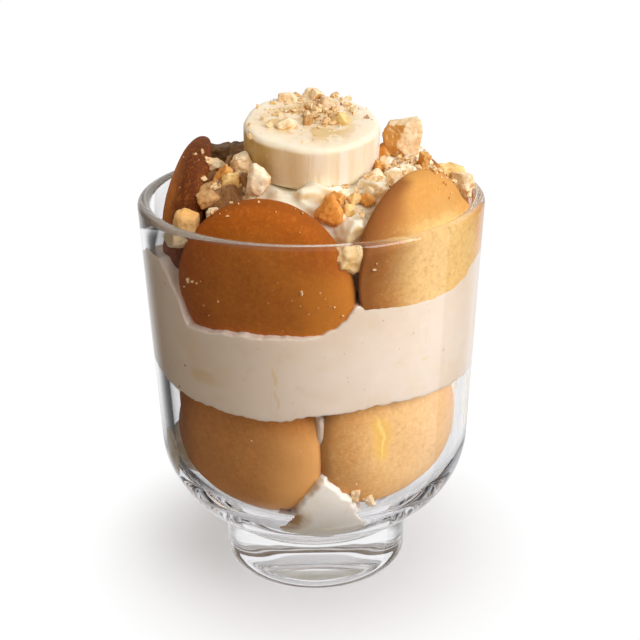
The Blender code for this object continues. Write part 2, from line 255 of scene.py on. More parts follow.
def even_out(obj, detail_mm):
    """Gives a piece an even skin, with details down to a size."""
    skin = obj.modifiers.new("Skin", "REMESH")
    skin.mode = "VOXEL"
    skin.voxel_size = detail_mm * MM


def keep_inside(obj, clear):
    """Moves what is below the rim and past the inner wall back in."""
    for vert in obj.data.vertices:
        x, y, z = vert.co / MM
        limit = inner_radius(min(z, GLASS_HEIGHT)) - clear
        if z < GLASS_HEIGHT + 1 and math.hypot(x, y) > limit:
            vert.co = at_radius(x, y, z, limit)


def displace(obj, move):
    """Moves each vertex of a mesh by move(point, normal), in millimetres."""
    mesh = obj.data
    normals = [n.vector.copy() for n in mesh.vertex_normals]
    for vert, normal in zip(mesh.vertices, normals):
        point = vert.co / MM
        vert.co = (point + move(point, normal)) * MM


# Materials


class Graph:
    """A short way to write the node tree of a new material, or of the world."""

    def __init__(self, name, owner=None):
        self.mat = owner or bpy.data.materials.new(name)
        self.mat.use_nodes = True
        self.tree = self.mat.node_tree
        self.shader = self.tree.nodes.get("Principled BSDF")
        self.output = self.tree.nodes.get("Material Output")

    def node(self, kind, **values):
        made = self.tree.nodes.new(kind)
        for key, value in values.items():
            setattr(made, key, value)
        return made

    def link(self, source, target):
        self.tree.links.new(source, target)

    def feed(self, socket, value):
        if isinstance(value, bpy.types.NodeSocket):
            self.link(value, socket)
        elif isinstance(value, tuple) and len(value) == 3 and socket.type == "RGBA":
            socket.default_value = (*value, 1.0)
        else:
            socket.default_value = value

    def value(self, kind, inputs, output=0, **values):
        """Makes a node, feeds its inputs and gives one of its outputs."""
        made = self.node(kind, **values)
        for key, source in inputs.items():
            self.feed(made.inputs[key], source)
        return made.outputs[output]

    def object_point(self):
        return self.node("ShaderNodeTexCoord").outputs["Object"]

    def placed_point(self, place, turn):
        """Coordinates of a piece before it was baked into its place."""
        inputs = {"Vector": self.object_point(), "Location": place, "Rotation": turn}
        return self.value("ShaderNodeMapping", inputs, vector_type="TEXTURE")

    def math(self, operation, a, b=0.0):
        return self.value("ShaderNodeMath", {0: a, 1: b}, operation=operation)

    def add(self, a, b):
        return self.math("ADD", a, b)

    def minus(self, a, b):
        return self.math("SUBTRACT", a, b)

    def times(self, a, b):
        return self.math("MULTIPLY", a, b)

    def swing(self, value, most):
        """A noise moved to lie about 0, times a number."""
        return self.times(self.minus(value, 0.5), most)

    def vector(self, operation, a, b=(0.0, 0.0, 0.0)):
        output = "Value" if operation in ("LENGTH", "DOT_PRODUCT") else 0
        return self.value("ShaderNodeVectorMath", {0: a, 1: b}, output, operation=operation)

    def length(self, x, y):
        return self.vector("LENGTH", self.value("ShaderNodeCombineXYZ", {0: x, 1: y}))

    def noise(self, point, size_mm, detail=3.0, roughness=0.55, distortion=0.0):
        inputs = {"Vector": point, "Scale": 1 / (size_mm * MM), "Detail": detail}
        inputs |= {"Roughness": roughness, "Distortion": distortion}
        return self.value("ShaderNodeTexNoise", inputs)

    def cells(self, point, size_mm):
        inputs = {"Vector": point, "Scale": 1 / (size_mm * MM)}
        return self.value("ShaderNodeTexVoronoi", inputs, "Distance")

    def ramp(self, value, low, high, out_low=0.0, out_high=1.0, kind="SMOOTHSTEP"):
        inputs = {"Value": value, "From Min": low, "From Max": high}
        inputs |= {"To Min": out_low, "To Max": out_high}
        return self.value("ShaderNodeMapRange", inputs, "Result", interpolation_type=kind)

    def mix(self, share, a, b):
        return self.value("ShaderNodeMix", {0: share, 6: a, 7: b}, 2, data_type="RGBA")

    def layers(self, colour, *rows):
        """Lays colours over a first one: field, its range, the share at each end, colour."""
        for field, low, high, share_low, share_high, over in rows:
            colour = self.mix(self.ramp(field, low, high, share_low, share_high), colour, over)
        return colour

    def choose(self, share, first, second):
        """Ends a material in a mix of two shaders."""
        inputs = {0: share, 1: first.outputs[0], 2: second.outputs[0]}
        self.link(self.value("ShaderNodeMixShader", inputs), self.output.inputs["Surface"])

    def parts(self, point):
        made = self.node("ShaderNodeSeparateXYZ")
        self.feed(made.inputs[0], point)
        return made.outputs

    def bump(self, height, strength, distance_mm):
        inputs = {"Height": height, "Strength": strength, "Distance": distance_mm * MM}
        return self.value("ShaderNodeBump", inputs, "Normal")

    def finish(self, colour, roughness, normal=None, **values):
        self.feed(self.shader.inputs["Base Color"], colour)
        self.feed(self.shader.inputs["Roughness"], roughness)
        if normal is not None:
            self.link(normal, self.shader.inputs["Normal"])
        for key, value in values.items():
            self.feed(self.shader.inputs[key.replace("_", " ")], value)
        return self.mat


def tone(colour, factor):
    """A colour made brighter or darker."""
    return tuple(min(1.0, c * factor) for c in colour)


def glass_material():
    """Clear glass, faintly smudged; shadow rays pass, so the food in it is lit."""
    g = Graph("clear_glass_look")
    glass = g.node("ShaderNodeBsdfGlass")
    g.feed(glass.inputs["Color"], (0.988, 0.988, 0.992))
    g.feed(glass.inputs["IOR"], 1.5)
    smudge = g.noise(g.object_point(), 9, 4.0, 0.6)
    g.feed(glass.inputs["Roughness"], g.ramp(smudge, 0.60, 0.9, 0.0, 0.03))
    clear = g.node("ShaderNodeBsdfTransparent")
    g.feed(clear.inputs["Color"], (0.95, 0.95, 0.955))
    g.choose(g.node("ShaderNodeLightPath").outputs["Is Shadow Ray"], glass, clear)
    g.tree.nodes.remove(g.shader)
    return g.mat


def wafer_material(name, radius, centre, edge, seed, placing, sides, crack):
    """Baked wafer: golden in the middle, browner to its edge, finely grained, with tiny pits."""
    g = Graph(name)
    shade_on_left, light_on_right, shade_on_top = sides
    local = g.placed_point(*placing)
    point = g.vector("ADD", local, (seed * 0.013, seed * 0.007, seed * 0.011))
    x, y = g.parts(local)[:2]
    share = g.math("DIVIDE", g.length(x, y), radius * MM)
    blotch = g.noise(point, 8.0, 2.0, 0.5, 0.3)
    mottle = g.noise(point, 1.5, 4.0, 0.62)
    grain = g.noise(point, 0.7, 3.0, 0.65)
    rim = g.add(share, g.swing(blotch, 0.5))
    colour = g.layers(
        centre,
        (rim, 0.40, 0.95, 0.0, 1.0, edge),
        (mottle, 0.48, 0.72, 0.0, 0.33, tone(edge, 0.70)),
        (mottle, 0.28, 0.48, 0.33, 0.0, tone(centre, 1.25)),
        (grain, 0.50, 0.68, 0.0, 0.32, tone(centre, 1.4)),
        (grain, 0.32, 0.48, 0.20, 0.0, tone(edge, 0.70)),
        (share, 0.93, 1.0, 0.0, 0.5, tone(edge, 0.55)),
    )
    if shade_on_left or light_on_right:
        level = g.math("DIVIDE", y, radius * MM)
        half = g.minus(1.0, g.times(level, level))
        half = g.math("SQRT", g.math("MAXIMUM", half, 0.10))
        side = g.math("DIVIDE", g.math("DIVIDE", x, radius * MM), half)
        side = g.add(side, g.times(blotch, 0.3))
        colour = g.layers(
            colour,
            # painted shade: the top is made darker and browner
            (level, 0.35, 0.70, 0.0, shade_on_top, tone(edge, 0.82)),
            # painted shade: the left edge, turned from the lamp, is made dark brown
            (side, -0.84, -0.25, shade_on_left, 0.0, (0.26, 0.075, 0.018)),
        )
        # painted light: a paler copy of the middle colour, laid on the right side below the top
        light = (min(1.0, centre[0] * 1.4), centre[1] * 1.65, centre[2] * 1.9)
        painted_light = g.ramp(side, 0.40, 1.0, 0.0, light_on_right)
        painted_light = g.times(painted_light, g.ramp(level, 0.1, 0.5, 1.0, 0.0))
        colour = g.mix(painted_light, colour, light)
    pits = g.cells(point, 1.3)
    spots = g.cells(g.vector("ADD", point, (0.2, 0.1, 0.3)), 2.6)
    colour = g.layers(
        colour,
        (pits, 0.05, 0.13, 0.28, 0.0, tone(edge, 0.50)),
        (spots, 0.03, 0.06, 0.6, 0.0, (0.82, 0.60, 0.34)),
    )
    height = g.add(g.times(grain, 0.8), g.times(mottle, 0.35))
    height = g.add(height, g.ramp(pits, 0.0, 0.2, -0.4, 0.0))
    if crack:
        across, up, tall = crack
        bent = g.swing(blotch, 5.0 * MM)
        bent = g.add(bent, g.swing(mottle, 1.1 * MM))
        off = g.math("ABSOLUTE", g.minus(g.add(x, bent), across * MM))
        high = g.math("ABSOLUTE", g.minus(y, up * MM))
        within = g.ramp(high, tall * 0.55 * MM, tall * MM, 1.0, 0.0)
        glow = g.times(g.ramp(off, 0.4 * MM, 3.0 * MM, 0.70, 0.0), within)
        line = g.times(g.ramp(off, 0.10 * MM, 0.65 * MM, 0.75, 0.0), within)
        colour = g.mix(glow, colour, (0.95, 0.58, 0.11))
        colour = g.mix(line, colour, (1.0, 0.76, 0.27))
        height = g.minus(height, g.times(line, 1.2))
    return g.finish(
        colour,
        g.ramp(grain, 0.3, 0.7, 0.66, 0.86),
        g.bump(height, 0.50, 0.13),
        Specular_IOR_Level=0.14,
    )


def pudding_material(name, colour, streak, seed, fleck=0.5, gloss=0.38, painted_cream_shade=False, marks=()):
    """Set pudding or cream: soft mottling, faint yellow streaks, specks and small pores."""
    g = Graph(name)
    point = g.vector("ADD", g.object_point(), (seed * 0.017, seed * 0.005, seed * 0.009))
    wide = g.noise(point, 13, 3.0, 0.5, 0.6)
    soft = g.noise(point, 3.4, 3.0, 0.5)
    fine = g.noise(point, 0.7, 2.0)
    stretched = g.vector("MULTIPLY", point, (1.0, 1.0, 0.16))
    lines = g.noise(stretched, 2.6, 2.0, 0.5, 1.2)
    few = g.cells(g.vector("ADD", point, (0.3, 0.2, 0.1)), 5.0)
    out = g.layers(
        colour,
        (wide, 0.42, 0.72, 0.0, 0.45, streak),
        (soft, 0.50, 0.75, 0.0, 0.35, tone(colour, 1.08)),
        (soft, 0.25, 0.45, 0.25, 0.0, tone(streak, 0.92)),
        (lines, 0.66, 0.74, 0.0, 0.35, tone(streak, 0.95)),
        (g.cells(point, 2.1), 0.035, 0.075, fleck, 0.0, (0.42, 0.22, 0.08)),
        (few, 0.04, 0.09, min(1.0, fleck * 1.4), 0.0, (0.30, 0.12, 0.03)),
    )
    # Each mark, a stain or a patch of painted shade: place, half width and half height in
    # millimetres, share, colour.
    for place, wide_mm, tall_mm, share, tint in marks:
        off = g.vector("SUBTRACT", g.object_point(), tuple(c * MM for c in place))
        bent = g.swing(wide, 0.010)
        ox, oy, oz = g.parts(off)
        ox = g.math("DIVIDE", g.add(ox, bent), wide_mm * MM)
        near = g.length(ox, g.math("DIVIDE", oz, tall_mm * MM))
        near = g.ramp(near, 0.35, 1.0, share, 0.0)
        near = g.times(near, g.ramp(g.math("ABSOLUTE", oy), 0.008, 0.012, 1.0, 0.0))
        out = g.mix(g.times(near, g.ramp(soft, 0.30, 0.55, 0.45, 1.0)), out, tint)
    if painted_cream_shade:
        # Painted shade: faces of the cream that turn from the light above are made golden and
        # darker.
        slope = g.parts(g.node("ShaderNodeNewGeometry").outputs["Normal"])[2]
        slope = g.add(slope, g.swing(soft, 0.9))
        out = g.mix(g.ramp(slope, 0.0, 0.62, 0.75, 0.0), out, (0.90, 0.68, 0.34))
        # Painted shade: the cream's left part, beside the slice and the left wafer, is made dark
        # brown.
        left_shade = g.add(g.parts(g.object_point())[0], g.swing(wide, 0.012))
        out = g.mix(g.ramp(left_shade, -0.0165, -0.0125, 0.9, 0.0), out, (0.30, 0.15, 0.055))
    return g.finish(
        out,
        g.ramp(soft, 0.3, 0.7, gloss, gloss + 0.14),
        g.bump(g.add(soft, g.times(fine, 0.3)), 0.18, 0.2),
        Subsurface_Weight=0.25,
        Subsurface_Scale=0.0016,
        Subsurface_Radius=(1.0, 0.75, 0.45),
        Specular_IOR_Level=0.45,
    )


def banana_material():
    """Cut banana: pale flesh, a darker middle with three seams and tiny seeds, streaked sides."""
    g = Graph("banana_look")
    point = g.placed_point(tuple(c * MM for c in BANANA_PLACE), (BANANA_TILT, BANANA_ROLL, 0.0))
    x, y, z = g.parts(point)
    r = g.math("DIVIDE", g.length(x, y), BANANA_RADIUS * MM)
    cloud = g.noise(point, 4.5, 4.0, 0.55, 0.5)
    fine = g.noise(point, 0.8, 3.0, 0.6)
    around = g.math("ARCTAN2", y, x)
    lobes = g.math("COSINE", g.times(around, 3.0))
    flesh = (0.93, 0.82, 0.64)
    core = (0.72, 0.50, 0.20)
    inner = g.add(r, g.times(lobes, 0.07))
    inner = g.add(inner, g.swing(cloud, 0.3))
    patches = g.ramp(g.noise(point, 5.0, 3.0, 0.6, 0.8), 0.42, 0.54, 0.15, 1.0)
    top = g.mix(g.times(g.ramp(inner, 0.50, 0.90, 0.92, 0.0), patches), flesh, core)
    top = g.mix(g.ramp(inner, 0.86, 0.97), top, (0.95, 0.86, 0.70))
    seeds = g.cells(point, 2.2)
    near = g.ramp(inner, 0.12, 0.40, 1.0, 0.0)
    seeds = g.times(g.ramp(seeds, 0.10, 0.22, 0.7, 0.0), near)
    top = g.mix(seeds, top, (0.19, 0.09, 0.03))
    tall = g.vector("MULTIPLY", point, (1.0, 1.0, 0.10))
    fibre = g.noise(tall, 1.9, 3.0, 0.55, 0.3)
    wide = g.noise(tall, 6.0, 2.0, 0.5)
    shaded = g.add(x, g.swing(wide, 0.012))
    side = g.layers(
        (0.94, 0.83, 0.66),
        (fibre, 0.34, 0.68, 0.0, 1.0, (1.0, 0.96, 0.92)),
        (wide, 0.40, 0.62, 0.35, 0.0, (0.84, 0.70, 0.46)),
        (shaded, -0.0135, 0.0030, 0.95, 0.0, (0.57, 0.37, 0.11)),
    )
    cracks = g.noise(tall, 1.3, 2.0, 0.5, 0.4)
    veins = g.ramp(cracks, 0.60, 0.68, 0.0, 0.5)
    veins = g.times(veins, g.ramp(x, -0.001, 0.006, 1.0, 0.2))
    side = g.mix(veins, side, (0.62, 0.46, 0.27))
    high = g.ramp(z, (BANANA_THICK / 2 - 1.5) * MM, (BANANA_THICK / 2 - 0.7) * MM)
    colour = g.mix(high, side, top)
    colour = g.mix(g.ramp(fine, 0.55, 0.8, 0.0, 0.25), colour, (1.0, 0.922, 0.730))
    height = g.add(fibre, g.times(fine, 0.35))
    return g.finish(
        colour,
        g.ramp(cloud, 0.3, 0.7, 0.32, 0.5),
        g.bump(height, 0.22, 0.15),
        Subsurface_Weight=0.4,
        Subsurface_Scale=0.0022,
        Subsurface_Radius=(1.0, 0.7, 0.35),
    )


# look: colour inside, colour of the crust, seed, the way that the crust faces, from which
# slope on, and the height in millimetres that it is baked above
CRUMB_LOOKS = {
    "bits_pale": ((0.97, 0.81, 0.58), (0.72, 0.40, 0.13), 1, (0.4, -0.2, -0.8), 0.35),
    "bits_yellow": ((0.92, 0.70, 0.32), (0.80, 0.46, 0.12), 15, (-0.6, 0.2, 0.5), 0.4),
    "bits_amber": ((0.84, 0.50, 0.17), (0.68, 0.28, 0.05), 7, (-0.6, -0.5, 0.3), 0.3),
    "bits_toasted": ((0.62, 0.38, 0.17), (0.33, 0.13, 0.04), 9, (0.5, 0.2, -0.6), 0.2),
    "bits_brown": ((0.42, 0.24, 0.10), (0.22, 0.095, 0.03), 17, (0.3, -0.4, 0.6), 0.3),
    "bits_shaded": ((0.29, 0.18, 0.085), (0.14, 0.07, 0.03), 13, (0.5, 0.2, 0.6), 0.3),
    "chunk_right": ((0.97, 0.77, 0.52), (0.68, 0.32, 0.07), 2, (-0.9, -0.3, -0.2), 0.3),
    "chunk_rim_left": ((0.94, 0.80, 0.56), (0.80, 0.45, 0.14), 3, (0.3, 0.1, 0.9), 0.3, 95.0),
    "chunk_notch": ((0.94, 0.70, 0.38), (0.84, 0.54, 0.18), 4, (0.8, 0.0, -0.4), 0.1),
    "chunk_orange": ((0.88, 0.46, 0.13), (0.74, 0.29, 0.05), 5, (0.0, -1.0, 0.0), 0.3),
    "chunk_white": ((0.98, 0.84, 0.66), (0.72, 0.40, 0.14), 6, (0.6, 0.3, -0.7), 0.4),
    "crumbs_pale": ((0.94, 0.77, 0.50), (0.66, 0.34, 0.10), 8, (0.3, 0.4, 0.8), 0.25),
    "crumbs_toasted": ((0.55, 0.26, 0.08), (0.36, 0.14, 0.04), 12, (0.3, 0.4, 0.8), 0.3),
}


def crumb_material(name, inside, crust, seed, crust_axis, crust_from, baked_above=None):
    """Broken wafer: porous pale inside, with a baked skin on one side or above a height."""
    g = Graph(name)
    point = g.vector("ADD", g.object_point(), (seed * 0.019, seed * 0.003, seed * 0.007))
    cloud = g.noise(point, 2.6, 4.0, 0.6, 0.3)
    fine = g.noise(point, 0.5, 3.0, 0.65)
    pores = g.cells(point, 0.9)
    side = g.node("ShaderNodeNewGeometry").outputs["Normal"]
    side = g.add(g.vector("DOT_PRODUCT", side, crust_axis), g.swing(cloud, 0.7))
    colour = g.layers(
        # painted shade: this first colour, a darker and browner copy of the inside, shows where the
        # noise is low
        (inside[0] * 0.88, inside[1] * 0.74, inside[2] * 0.58),
        (cloud, 0.36, 0.64, 0.0, 1.0, tone(inside, 1.08)),
        (pores, 0.08, 0.26, 0.55, 0.0, tone(inside, 0.50)),
        (side, crust_from, crust_from + 0.35, 0.0, 1.0, crust),
    )
    if baked_above:
        level = g.add(g.parts(g.object_point())[2], g.times(cloud, 0.002))
        level = g.ramp(level, baked_above * MM, (baked_above + 1.6) * MM, 0.0, 0.8)
        colour = g.mix(level, colour, crust)
    colour = g.mix(g.ramp(fine, 0.55, 0.8, 0.0, 0.4), colour, tone(inside, 1.25))
    height = g.add(fine, g.ramp(pores, 0.0, 0.25, -0.8, 0.0))
    shine = g.ramp(fine, 0.3, 0.7, 0.5, 0.75)
    return g.finish(colour, shine, g.bump(height, 0.6, 0.2), Specular_IOR_Level=0.35)


# Glass


def bowl_steps(end_z, count=30):
    """Heights down the part of the bowl that turns in."""
    deep = BOWL_TURN_Z - end_z
    shares = [math.sin(math.pi / 2 * i / count) for i in range(count)]
    return [BOWL_TURN_Z - deep * share**BOWL_POWER_Z for share in shares]


def glass_profile():
    """From the middle of the floor up the inside, over the lip, down to the hollow's middle."""
    lip = 1.4
    lip_z = GLASS_HEIGHT - lip
    straight = [BOWL_TURN_Z + (lip_z - BOWL_TURN_Z) * i / 12 for i in range(1, 12)]
    points = [
        (0.0, FLOOR_Z - 0.2),
        (0.35 * FLOOR_RADIUS, FLOOR_Z - 0.18),
        (0.7 * FLOOR_RADIUS, FLOOR_Z - 0.08),
    ]
    points += [(inner_radius(z), z) for z in (*bowl_steps(FLOOR_Z)[::-1], *straight)]
    points += arc((inner_radius(lip_z) + lip, lip_z), lip, 180, 90, 8)
    points += arc((outer_radius(lip_z) - lip, lip_z), lip, 90, 0, 8)
    outer = [(outer_radius(z), z) for z in (*straight[::-1], *bowl_steps(BOWL_END_Z))]
    points += [point for point in outer if point[0] >= FOOT_RADIUS + 0.7]
    neck = [
        points[-1],
        (FOOT_RADIUS + 0.05, FOOT_TOP_Z - 0.2),
        (FOOT_RADIUS - 0.25, FOOT_TOP_Z - 1.2),
        (FOOT_RADIUS - 0.1, FOOT_TOP_Z - 3.0),
        (FOOT_RADIUS + 0.1, FOOT_TOP_Z - 6),
        (FOOT_RADIUS, 4.0),
        (FOOT_RADIUS, FOOT_EDGE + 0.3),
    ]
    points += curve_through(neck)[1:]
    points += arc((FOOT_RADIUS - FOOT_EDGE, FOOT_EDGE), FOOT_EDGE, 0, -90, 7)[1:]
    shares = [1 - i / 12 for i in range(13)]
    return points + [(PUNT_RADIUS * s, PUNT_DEPTH * (1 - s * s)) for s in shares]


def make_glass():
    mesh = lathe_mesh("glass_clear", glass_profile(), 192)
    return new_object("glass_clear", mesh, glass_material())


# Pudding


# Where the layer's edges meet the glass: azimuth in degrees, height in millimetres.
BAND_TOP = (
    (-150, 78.0), (-110, 77.5), (-90, 79.0), (-80, 85.5), (-70, 88.0), (-60, 87.6), (-56, 85.2),
    (-53.5, 82.8), (-50.5, 80.0), (-48, 75.6), (-46.5, 74.0), (-40, 74.0), (-32, 74.6),
    (-18, 74.9), (-4, 75.2), (2, 75.7), (7, 77.2), (10.2, 78.9), (12.5, 81.0), (14.1, 82.3),
    (18.5, 81.7), (26, 81.2), (34, 80.9), (42, 80.7), (52, 80.9), (61.6, 82.2), (67, 84.1),
    (73, 84.8), (92, 85.0), (110, 82.0), (128, 79.2), (165, 78.2),
)
BAND_LOW = (
    (-130, 56.0), (-90, 57.2), (-68, 57.0), (-63.5, 56.1), (-56, 55.5), (-49, 55.1), (-39, 55.0),
    (-30, 54.6), (-22.6, 54.4), (-16, 54.3), (-11.8, 54.3), (-8.4, 54.8), (-5.9, 55.6),
    (-1.5, 55.9), (5.2, 56.2), (10.4, 56.5), (15.6, 57.0), (26.7, 57.1), (39.4, 56.6),
    (49.8, 56.0), (59.8, 55.5), (70.6, 55.1), (90, 55.0), (130, 55.5), (170, 55.2),
)
BAND_STEPS = 420
BAND_EDGE = 0.5
INTO_GLASS = 0.12


def band_point(kind, value, angle):
    """One point of the layer: on its top or underside, on its rounded edges or at the wall."""
    ca, sa = math.cos(angle), math.sin(angle)
    az = azimuth_of(ca, sa)
    around = (ca * 36, sa * 36, 0.0)
    low = along(BAND_LOW, az) + 0.4 * wiggle(around, 2.1, 5) + 0.3 * wiggle(around, 0.9, 9)
    high = along(BAND_TOP, az) + 0.3 * wiggle(around, 2.4, 2) + 0.25 * wiggle(around, 1.0, 7)
    if kind in ("top", "low"):
        flat, edge = (BAND_TOP_Z, high) if kind == "top" else (BAND_LOW_Z, low)
        z = flat + (edge - flat) * smoothstep(24, 36, value)
        soft = 0.4 * wiggle((value * ca, value * sa, 0), 4.0, 3)
        z += soft * (1 - smoothstep(33, 36, value))
        r = min(value, inner_radius(z) - BAND_EDGE)
    else:
        turn = math.radians(0 if kind == "wall" else value)
        if kind == "wall":
            z = low + BAND_EDGE + (high - low - 2 * BAND_EDGE) * value
        elif kind == "upper edge":
            z = high - BAND_EDGE + BAND_EDGE * math.sin(turn)
        else:
            z = low + BAND_EDGE - BAND_EDGE * math.sin(turn)
        r = inner_radius(z) + INTO_GLASS - BAND_EDGE * (1 - math.cos(turn))
    return r * ca * MM, r * sa * MM, z * MM


def make_band():
    """The layer that touches the wall: it reaches just into the glass, so no air gap shows."""
    flat = [r for (r,) in resample([(20.0,), (29.0,), (33.0,), (35.2,)], 0.9)]
    turns = (90, 68, 46, 24, 0)
    rows = [("top", r) for r in flat] + [("upper edge", a) for a in turns]
    rows += [("wall", 1 - i / 26) for i in range(1, 26)]
    rows += [("lower edge", a) for a in turns[::-1]] + [("low", r) for r in flat[::-1]]
    verts, rings = [(0, 0, BAND_TOP_Z * MM)], [(0,)]
    for kind, value in rows:
        rings.append(range(len(verts), len(verts) + BAND_STEPS))
        for j in range(BAND_STEPS):
            verts.append(band_point(kind, value, 2 * math.pi * j / BAND_STEPS))
    rings.append((len(verts),))
    verts.append((0, 0, BAND_LOW_Z * MM))
    mesh = ring_mesh("pudding_band_soft", verts, rings)
    marks = (
        ((-23.6, -28.2, 62.4), 4.6, 2.4, 0.55, (0.80, 0.62, 0.30)),
        ((-8.3, -35.8, 65.6), 0.55, 3.4, 0.75, (0.84, 0.66, 0.32)),
        ((-9.2, -35.6, 59.8), 0.5, 3.6, 0.65, (0.84, 0.66, 0.34)),
        ((24.0, -28.0, 66.0), 1.6, 0.5, 0.5, (0.88, 0.70, 0.40)),
    )
    mat = pudding_material(
        "pudding_band_look", (0.93, 0.82, 0.72), (0.89, 0.73, 0.54), 1.0, 0.7, marks=marks
    )
    return new_object("pudding_band_soft", mesh, mat)


# The core's outline: radius, height.
BASE_PROFILE = (
    (0.0, 54.6), (14, 54.6), (24, 54.4), (28.6, 53.0), (31.2, 50), (32.0, 47), (32.0, 42),
    (31.4, 38), (30.0, 34), (28.2, 30), (26, 26.4), (23, 22.6), (19.5, 20.0), (14, 18.2),
    (7, 17.6), (0, 17.4),
)
# The tongue at the front wall: from height, to height, what its half width changes by.
TONGUE = ((21.5, 24.5, 19), (25, 30, -6), (30, 36, -6), (35, 40.5, -7))
TONGUE_AZIMUTH = 3.5


def make_base():
    """The core: it stands clear of the wall but for a ragged tongue, a seam and two smears."""
    fine = resample(curve_through(BASE_PROFILE), 0.6)
    fine[0], fine[-1] = BASE_PROFILE[0], BASE_PROFILE[-1]
    mesh = lathe_mesh("pudding_base_soft", fine, 360)
    marks = (
        ((-5.4, -31.5, 28.4), 4.2, 4.6, 1.0, (0.44, 0.26, 0.11)),
        ((-1.0, -35.6, 38.5), 1.6, 3.0, 0.6, (0.55, 0.34, 0.15)),
        # painted shade: this mark greys the seam where the lower wafers meet
        ((1.2, -35.6, 51.0), 3.4, 6.0, 0.8, (0.56, 0.43, 0.33)),
        ((9.5, -33.6, 33.5), 1.4, 1.6, 0.6, (0.88, 0.62, 0.28)),
        # painted shade: this mark darkens the core where it meets the wall at the left
        ((-32.6, -14.0, 36.0), 6.0, 14.0, 0.85, (0.47, 0.37, 0.22)),
    )
    mat = pudding_material(
        "pudding_base_look", (1.0, 0.96, 0.90), (0.90, 0.76, 0.56), 2.0, marks=marks
    )
    obj = new_object("pudding_base_soft", mesh, mat)
    for vert in mesh.vertices:
        x, y, z = vert.co / MM
        r = math.hypot(x, y)
        if r < TINY:
            continue
        az = azimuth_of(x, y)
        push = rough((x, y, z), 8.0, 1.0) * min(1.0, r / 20) if z <= 53.5 else 0.0
        limit = inner_radius(z) + 0.10
        ragged = 1.6 * wiggle((x, y, z), 2.6, 4) + 0.9 * wiggle((x, y, z), 1.0, 6)
        half = sum(width * smoothstep(low, high, z) for low, high, width in TONGUE)
        tongue = smoothstep(-1.5, 1.5, half - abs(az - TONGUE_AZIMUTH) + ragged)
        if half <= 0.3:
            tongue = 0.0
        seam = 0.6 * between(az, 2.2, 5) * smoothstep(44, 50, z)
        left = 2.8 * between(az, -67, 11) * max(0.0, 1 - abs(z - 36) / 10)
        right = 1.7 * between(az, 75, 7) * smoothstep(34, 40, z)
        target = min(limit - 0.6, r + push)
        target += (limit - target) * max(0.0, min(1.0, max(tongue, seam, left, right)))
        vert.co = at_radius(x, y, z, target)
    return obj


# Wafers

GOLD = (0.80, 0.42, 0.14)
BROWN = (0.48, 0.17, 0.045)

# azimuth, height, lean, radius, inset, turn, middle colour, edge colour, share of painted shade on
# the left edge
UPPER = (
    (-19.6, 83.0, 2.4, 20.3, 1.2, -1.0, (0.52, 0.168, 0.020), (0.46, 0.120, 0.012), 0.0),
    (49.2, 86.7, 2.2, 20.0, 0.9, 0.0, (0.96, 0.65, 0.270), (0.80, 0.39, 0.100), 0.80),
    (122.0, 83.9, 1.0, 19.0, 1.6, 3.0, GOLD, BROWN, 0.0),
    (203.0, 84.2, -2.0, 19.2, 1.8, -3.0, GOLD, BROWN, 0.0),
    (-89.2, 90.6, -11.0, 19.7, 2.4, 2.0, (0.62, 0.205, 0.034), (0.19, 0.050, 0.013), 0.0),
)
LOWER = (
    (-32.7, 44.1, -3.0, 19.4, 1.5, 0.0, (0.67, 0.30, 0.090), (0.70, 0.285, 0.070), 0.55),
    (37.9, 45.6, 0.0, 19.8, 1.4, 0.0, (0.91, 0.56, 0.24), (0.83, 0.43, 0.14), 0.34),
    (109.0, 45.4, 0.0, 18.7, 1.9, 2.0, (0.88, 0.54, 0.18), (0.84, 0.49, 0.15), 0.0),
    (181.0, 45.2, 0.0, 18.8, 2.1, -2.0, GOLD, BROWN, 0.0),
    (-106.0, 45.6, 0.0, 18.7, 2.0, 3.0, GOLD, BROWN, 0.0),
)


# wafer: azimuth and half width in degrees, height and half height of the place it is pressed at
PRESSED = {
    "wafer_upper_2": (55.0, 75.0, 84.0, 32.0),
    "wafer_upper_3": (108.0, 60.0, 84.0, 30.0),
}
# wafer: share of the painted light on its right side
LIGHT_ON_RIGHT = {"wafer_upper_1": 0.70, "wafer_lower_1": 0.80}
# wafer: share of the painted shade that darkens its top
SHADE_ON_TOP = {"wafer_upper_2": 0.75}
# wafer: across, up and half height of its yellow crack
CRACKS = {"wafer_lower_2": (-7.9, 2.0, 6.6)}


